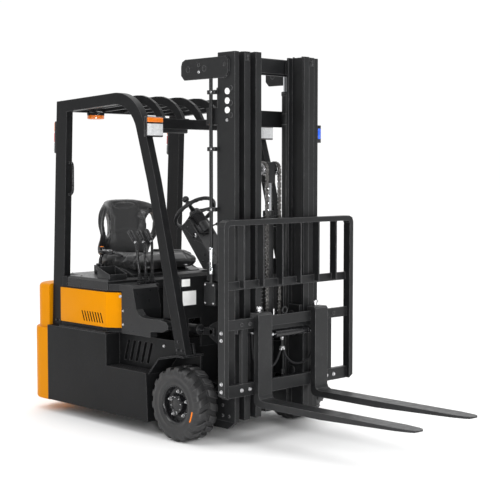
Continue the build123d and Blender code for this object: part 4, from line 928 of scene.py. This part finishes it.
# Crosshead on the free-lift rod with its two chain pulleys
s = Shape()
s.lathe((FREE_LIFT_X, 0, 0), Z, [(19, 500), (19, 1400)], "chrome", 32)
s.block(FREE_LIFT_X - 26, FREE_LIFT_X + 26, -30, 30, 1390, 1504, "mast", 6, 3)
s.lathe((FREE_LIFT_X, -72, PULLEY_Z), Y, [(13, 0), (13, 144)], "steel", 20)
for side in SIDES:
    s.lathe((FREE_LIFT_X, side * CHAIN_Y, PULLEY_Z), Y, [
        (22, -13), (33, -13), (34, -12), (29.5, -10.4), (29.5, 10.4), (34, 12), (33, 13), (22, 13)], "steel", 40)
    s.lathe((FREE_LIFT_X, side * 61, PULLEY_Z), Y * side, [(16, 0), (16, 5), (12, 7)], "mast", 24)
s.done("free_lift_crosshead", "free_lift", ["free_lift_head"], 40, "rod_chrome")

# Tilt cylinders, their rods and forked ends
barrels = Shape()
rods = Shape()
for side in SIDES:
    y = side * TILT_Y
    barrels.lathe((-214, y, TILT_Z), X, [(20, 0), (27, 3), (27, 182), (30, 184), (30, 203), (27, 206),
                                         (15, 206)], "frame", 36)
    barrels.block(-235.6, -198, y - 20, y + 20, 438, TILT_Z, "frame", 4)
    barrels.tube([(-150, y, 617), (-150, y, 630), (-165, y, 640), (-196, y, 644)], 6, "frame", 10)
    rods.lathe((-110, y, TILT_Z), X, [(14, 0), (14, 160)], "chrome", 28)
    rods.block(35, 65, y - 20, y + 20, TILT_Z - 20, TILT_Z + 20, "frame", 4)
    for c in SIDES:
        rods.block(55, 119, y + c * 16.5 - 3.5, y + c * 16.5 + 3.5, TILT_Z - 20, TILT_Z + 20, "frame", 1.5)
    rods.lathe((95, y - 20, TILT_Z), Y, [(13, 0), (13, 40)], "steel", 24)
barrels.done("tilt_cylinders", "chassis", ["tilt_barrels"])
rods.done("tilt_plungers", "tilt_rods", ["tilt_rods"], 40, "rod_chrome")


# Leaf chain: plates in a lacing of three and two, on pins
def lacing(k):
    return (-1, 0, 1) if k % 2 else (-0.5, 0.5)


def plate(s, outline, y, row, width):
    y += row * width / 3.2
    s.slab(outline, "y", y - width / 7.2, y + width / 7.2, "chain", 0)


def strand(s, x, y, z0, z1, width):
    n = int((z1 - z0) / 19.05)
    pitch = (z1 - z0) / n
    for k in range(n):
        z = z0 + pitch * k
        outline = [(x - LINK_DEPTH * w, z + pitch * h)
                   for w, h in ((0.5, -0.15), (0.5, 0.15), (0.36, 0.5), (0.5, 0.85), (0.5, 1.15), (0.2, 1.3))]
        outline += [(2 * x - a, b) for a, b in reversed(outline)]
        outline += [(x + LINK_DEPTH * 0.2, z - pitch * 0.3), (x - LINK_DEPTH * 0.2, z - pitch * 0.3)]
        outline = [(a, min(max(b, z0), z1)) for a, b in outline]
        for row in lacing(k):
            plate(s, outline, y, row, width)
        s.lathe((x, y - width / 2, z + pitch * 0.02 + 2), Y, [(3.2, 0), (3.2, width)], "steel", 8)


def arc_links(s, y, width):
    for k in range(9):
        a0, a1 = math.pi * k / 9, math.pi * (k + 1) / 9
        quad = []
        for a, r in ((a0 - 0.1, 30.2), (a0 - 0.1, 41.8), (a1 + 0.1, 41.8), (a1 + 0.1, 30.2)):
            quad.append((FREE_LIFT_X + math.cos(a) * r, PULLEY_Z + math.sin(a) * r))
        for row in lacing(k):
            plate(s, quad, y, row, width)


front = Shape()
rear = Shape()
over = Shape()
for side in SIDES:
    y = side * CHAIN_Y
    strand(front, CHAIN_FRONT_X, y, CHAIN_FOOT_Z, PULLEY_Z, CHAIN_WIDTH)
    strand(rear, CHAIN_REAR_X, y, CHAIN_ANCHOR_Z, PULLEY_Z, CHAIN_WIDTH)
    arc_links(over, y, CHAIN_WIDTH)
over.done("chain_turn", "free_lift", ["carriage_chains"], 30, "chain_steel")
o = front.done("chain_front", "free_lift", (), 30, "chain_steel")
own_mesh(o)
o = rear.done("chain_rear", None, (), 30, "chain_steel")
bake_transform(o)
s = Shape()
for side in SIDES:
    strand(s, 198, side * 217.25, 200, 2039, 10)
s.done("stage_chains", "mast_middle", ["mast_chains"], 30, "chain_steel")

# Fittings on the outer mast: pipe with its union, valve box, spot lamp, blank discs, bolts and ear holes; two of
# the ear holes are black rimmed discs, their dark insides painted shade
PIPE = (115, -334, 0)
s = Shape()
s.lathe(PIPE, Z, [(10, 850), (10, 1943.6)], "mast", 24)
s.lathe(PIPE, Z, [(10, 905), (12.6, 911), (12.6, 926), (11, 930), (11, 1022), (12.6, 1026), (12.6, 1043),
                  (10, 1048)], "chrome", 24)
for z in (1240, 1560, 1860):
    s.block(96, 154, -346, -322, z, z + 22, "mast", 2)
    s.bolt((128, -346, z + 11), -Y, 5)
s.block(67, 153.6, -346, -318, 735, 858, "mast", 5, 3)
for x, z in ((78, 748), (142, 748), (78, 846), (142, 846)):
    s.domed((x, -346, z), -Y, 5)
s.block(254, 276, 321.4, 353, 1612, 1710, "black", 5, 3)
for k in range(6):
    s.block(248, 256, 326 + k * 4.6, 328 + k * 4.6, 1618, 1704, "black", 0.5, 1)
s.block(274, 280, 322, 354, 1612, 1710, "black", 4, 3)
s.block(277, 282, 328, 349, 1634, 1692, "blue", 3, 3)
s.block(254, 262, 321.4, 326, 1606, 1716, "black", 1.5)
s.bolt((258, 326, 1662), Y, 5)
for z in (1873, 1823, 1774):
    s.lathe((229, -RAIL_SIDE, z), -Y, [(17, -0.5), (17, 4.2), (16.2, 4.6)], "white", 36)
s.bolt((225, -RAIL_SIDE, 1722), -Y, 7)
s.bolt((19, -EAR_SIDE, 1983), -Y, 7)
# Shallow black discs stand for two holes: the dark inside of each hole is painted shade
for x, z in ((19, 2020), (218, 2013)):
    s.lathe((x, -EAR_SIDE, z), -Y, [(13, -0.5), (13, 0.8), (11, 1.2), (10.5, 0.4), (10, 0.2)], "black", 28)
for side in SIDES:
    out = Y * side
    for x in (-70, 60):
        s.lathe((x, side * EAR_SIDE, 2000), out, [(15, -12), (15, -0.6), (14, 0)], "mast", 28)
    for x, z in ((190, 150), (240, 150), (190, 205)):
        s.bolt((x, side * RAIL_SIDE, z), out, 8, "mast")
    s.bolt((200, side * RAIL_SIDE, 590), out, 9, "steel")
    s.lathe((95, side * 290, 170), -out, [(26, -1), (26, 3), (22, 5)], "mast", 24)
    for z in (914, 1745):
        s.bolt((72, side * 180, z), -X, 8, "mast")
s.done("mast_details", "mast_outer", ["mast_fittings"])

# Bolts and guide pads on the moving stages
s = Shape()
for side in SIDES:
    s.block(304, 308, side * 232, side * 266, 2030, 2066, "mast", 1.5)
    for z in (2040, 2056):
        s.bolt((308, side * 249, z), X, 4, "mast")
    for x in (210, 262):
        s.domed((x, side * 248, MAST_TOP), Z, 6, "mast")
s.done("middle_stage_bolts", "mast_middle", (), 40, "chain_steel")
s = Shape()
for side in SIDES:
    for x in (226, 292):
        s.domed((x, side * 186, MAST_TOP), Z, 6, "mast")
    s.bolt((154, side * 150, 2028), -X, 8, "mast")
s.done("inner_stage_bolts", "mast_inner")

# Carriage: side-shift cylinder with its rods, port, pipe and tee; hose unions, roller caps, chain ends
s = Shape()
s.lathe((SHIFT_X, -92, SHIFT_Z), Y, [(22, 0), (22, 250), (24.5, 251), (24.5, 262), (21, 264)], "black", 32)
s.lathe((SHIFT_X, 172, SHIFT_Z), Y, [(11, 0), (11, 30)], "chrome", 24)
s.lathe((SHIFT_X, -200, SHIFT_Z), Y, [(11, 0), (11, 108)], "chrome", 24)
s.lathe((SHIFT_X, TEE_Y, SHIFT_Z - 20), -Z, [(10, 0), (10, 8), (8, 10), (8, 16)], "steel", 6)
s.tube([(SHIFT_X, TEE_Y, 548), (SHIFT_X + 1, TEE_Y, 530), (SHIFT_X + 1, TEE_Y, 508)], 6.5, "mast", 12)
s.block(340, 358, TEE_Y - 12, TEE_Y + 12, 497, 510, "steel", 3)
for side in SIDES:
    out = Y * side
    s.lathe((SHIFT_X + 1, TEE_Y + side * 8, 501), (0, side * 0.4, -1), [(9, 0), (9, 10), (7.4, 13)], "steel", 6)
    s.lathe((UNION_X, side * UNION_Y, 606), -Z, [(10, 0), (10, 12), (8, 14)], "steel", 6)
    for z in (350, 657):
        s.lathe((259, side * 141, z), -out, [(24, -1), (24, 3), (20, 6), (8, 7), (0, 7)], "mast", 28)
    for z in (330, 430, 540):
        s.bolt((300, side * 157, z), out, 8, "steel")
    s.bolt((CHAIN_FRONT_X, side * CHAIN_Y, 627), -Z, 9)
s.done("carriage_details", "carriage")


# Two hoses hang in loops from the tee below the cylinder to the unions at the sides of the carriage
def hose(name, route, body, diameter):
    c = bpy.data.curves.new(name, "CURVE")
    c.dimensions = "3D"
    c.bevel_depth = diameter / 2
    c.bevel_resolution = 4
    c.use_fill_caps = True
    c.materials.append(MAT["rubber"])
    line = c.splines.new("NURBS")
    line.points.add(len(route) - 1)
    for q, p in zip(line.points, route):
        q.co = (*(MM @ Vector(p)), 1)
    line.order_u = 3
    line.use_endpoint_u = True
    line.resolution_u = 16
    o = linked(name, c)
    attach(o, body)


hose("hose_right", [(349, -44, 489), (349, -58, 452), (348, -100, 404), (344, -170, 402), (334, -226, 440),
                    (330, -238, 520), (330, -238, 596)], "carriage", 0.013)
hose("hose_left", [(349, -20, 489), (349, -6, 452), (348, 56, 404), (344, 150, 398), (334, 222, 436),
                   (330, 238, 520), (330, 238, 596)], "carriage", 0.013)

# Side shifter and backrest: clamp bolts, pads, lifting eye, latch knobs on the fork hooks
s = Shape()
for side in SIDES:
    for y in (300, 360):
        s.bolt((375, side * y, 313), X, 9, "steel")
        s.bolt((375, side * y, 658), X, 9, "mast")
    for z in (322, 362, 588, 626):
        s.bolt((372, side * 502, z), Y * side, 8, "steel")
    s.lathe((362, side * 220, 711), Z, [(14, 0), (14, 4), (10, 6), (10, 15), (17, 17), (18, 26), (15, 31),
                                        (0, 32)], "steel", 24)
    s.block(352, 372, side * 220 - 18, side * 220 + 18, 709, 714, "mast", 1.5)
    s.block(340, 347, side * 60, side * 300, 640, 650, "black", 1)
for y in (-435, -360, -290, -150, -75, 0, 75, 150, 290, 360, 435):
    s.block(359, 375, y - 3, y + 3, 684, 688, "mast", 0.6, 1)
ring = [(18 + 5 * math.cos(a), 5 * math.sin(a)) for a in (2 * math.pi * k / 12 for k in range(12))]
s.lathe((366, -29, 706), X, ring, "mast", 32, loop=True)
s.done("shifter_details", "side_shift")

# Chassis: panel screws, tie-down bolts, console bolts, cowl plates and bars, roof bar clamps
s = Shape()
for side in SIDES:
    out = Y * side
    s.bolt((-196, side * 403, 490), out, 7, "steel")
    s.bolt((-536, side * 439, 742), Vector((0.57, side * 0.82, 0)), 7, "steel")
    for x, z in ((-14, 494), (24, 494), (-6, 540), (-1080, 560), (-1120, 560)):
        s.bolt((x, side * 463.5, z), out, 8, "black")
    for y, z in ((370, 590), (370, 560), (230, 560)):
        s.bolt((COWL_FACE, side * y, z), X, 8, "steel")
    s.block(-62.4, -59, side * 396, side * 402, 660, 880, "black", 1)
for z in (586, 664):
    s.bolt((-494, -CONSOLE_SIDE, z), -Y, 6, "steel")
s.block(-61, -59.6, -391, -331, 827, 867, "white", 0.5, 1)
s.block(-61, -59.6, -385, -287, 723, 801, "white", 0.5, 1)
s.block(-58, -56.5, 40, 180, 700, 720, "black", 0.5, 1)
for k in range(7):
    s.block(-61.5, -58, -60, 260, 690 + k * 22, 698 + k * 22, "black", 2)
for y in (-294, -147, 0, 147, 294):
    s.block(-336, -286, y - 15, y + 15, 1743, 1749, "frame", 2)
    s.bolt((-311, y, 1749), Z, 5, "frame")
s.done("chassis_details", "chassis")

# Floor
floor_mesh = bpy.data.meshes.new("floor")
floor_mesh.from_pydata([(-40, -40, 0), (40, -40, 0), (40, 40, 0), (-40, 40, 0)], [], [(0, 1, 2, 3)])
floor = linked("floor", floor_mesh)
floor_mesh.materials.append(surface("floor_paint", (0.93, 0.93, 0.93), (0.75, 0.85), vary=0.01, patch=1,
                                    grain=60, bump=0.01))

# White surroundings, brightest behind the truck and dim in front, so that dark paint stays dark
VIEW_TURN, VIEW_DROP = math.radians(45.47), math.radians(3.9)
VIEW_FROM = (AXLE + 4.7548, -4.608, 1.4635)
VIEW_LENS = 85.13
BEHIND = (-0.713, 0.701, 0.0)
DIM, BRIGHT = 0.3, 1.02
world = bpy.data.worlds.new("studio")
bpy.context.scene.world = world
world.use_nodes = True
wn, wl = world.node_tree.nodes, world.node_tree.links
wn["Background"].inputs["Color"].default_value = (1, 1, 1, 1)
toward = wn.new("ShaderNodeVectorMath")
toward.operation = "DOT_PRODUCT"
wl.new(wn.new("ShaderNodeTexCoord").outputs["Generated"], toward.inputs[0])
toward.inputs[1].default_value = BEHIND
fall = map_range(wn, wl, toward.outputs["Value"], -0.5, 0.72, DIM, BRIGHT)
fall.node.interpolation_type = "SMOOTHSTEP"
wl.new(fall, wn["Background"].inputs["Strength"])
bpy.context.scene.view_settings.view_transform = "Standard"


def area_light(name, place, target, size, power):
    data = bpy.data.lights.new(name, "AREA")
    data.shape = "RECTANGLE"
    data.size = size[0]
    data.size_y = size[1]
    data.energy = power
    o = linked(name, data)
    o.location = place
    o.rotation_euler = (Vector(target) - Vector(place)).to_track_quat("-Z", "Y").to_euler()


area_light("key", (-1.6, -5.6, 4.6), (-0.4, 0, 0.8), (3, 2.4), 118)
area_light("front", (6.0, -0.6, 3.6), (0.2, 0, 0.9), (2.6, 2.6), 190)
area_light("strip", (3.2, -3.0, 0.9), (-0.4, -0.3, 0.65), (0.4, 1.6), 85)
sun = bpy.data.lights.new("sky", "SUN")
sun.energy = 1.75
sun.angle = math.radians(100)
sky = linked("sky", sun)
sky.rotation_euler = (math.radians(-12), math.radians(-10), 0)

# Camera at the place fitted to the photo
camera_data = bpy.data.cameras.new("view")
camera_data.lens = VIEW_LENS
camera_data.sensor_width = 36
camera = linked("view", camera_data)
level = math.cos(VIEW_DROP)
ahead = Vector((-math.sin(VIEW_TURN) * level, math.cos(VIEW_TURN) * level, -math.sin(VIEW_DROP)))
right = Vector((math.cos(VIEW_TURN), math.sin(VIEW_TURN), 0))
turned = Matrix((right, right.cross(ahead), -ahead)).transposed().to_4x4()
camera.matrix_world = Matrix.Translation(VIEW_FROM) @ turned
bpy.context.scene.camera = camera
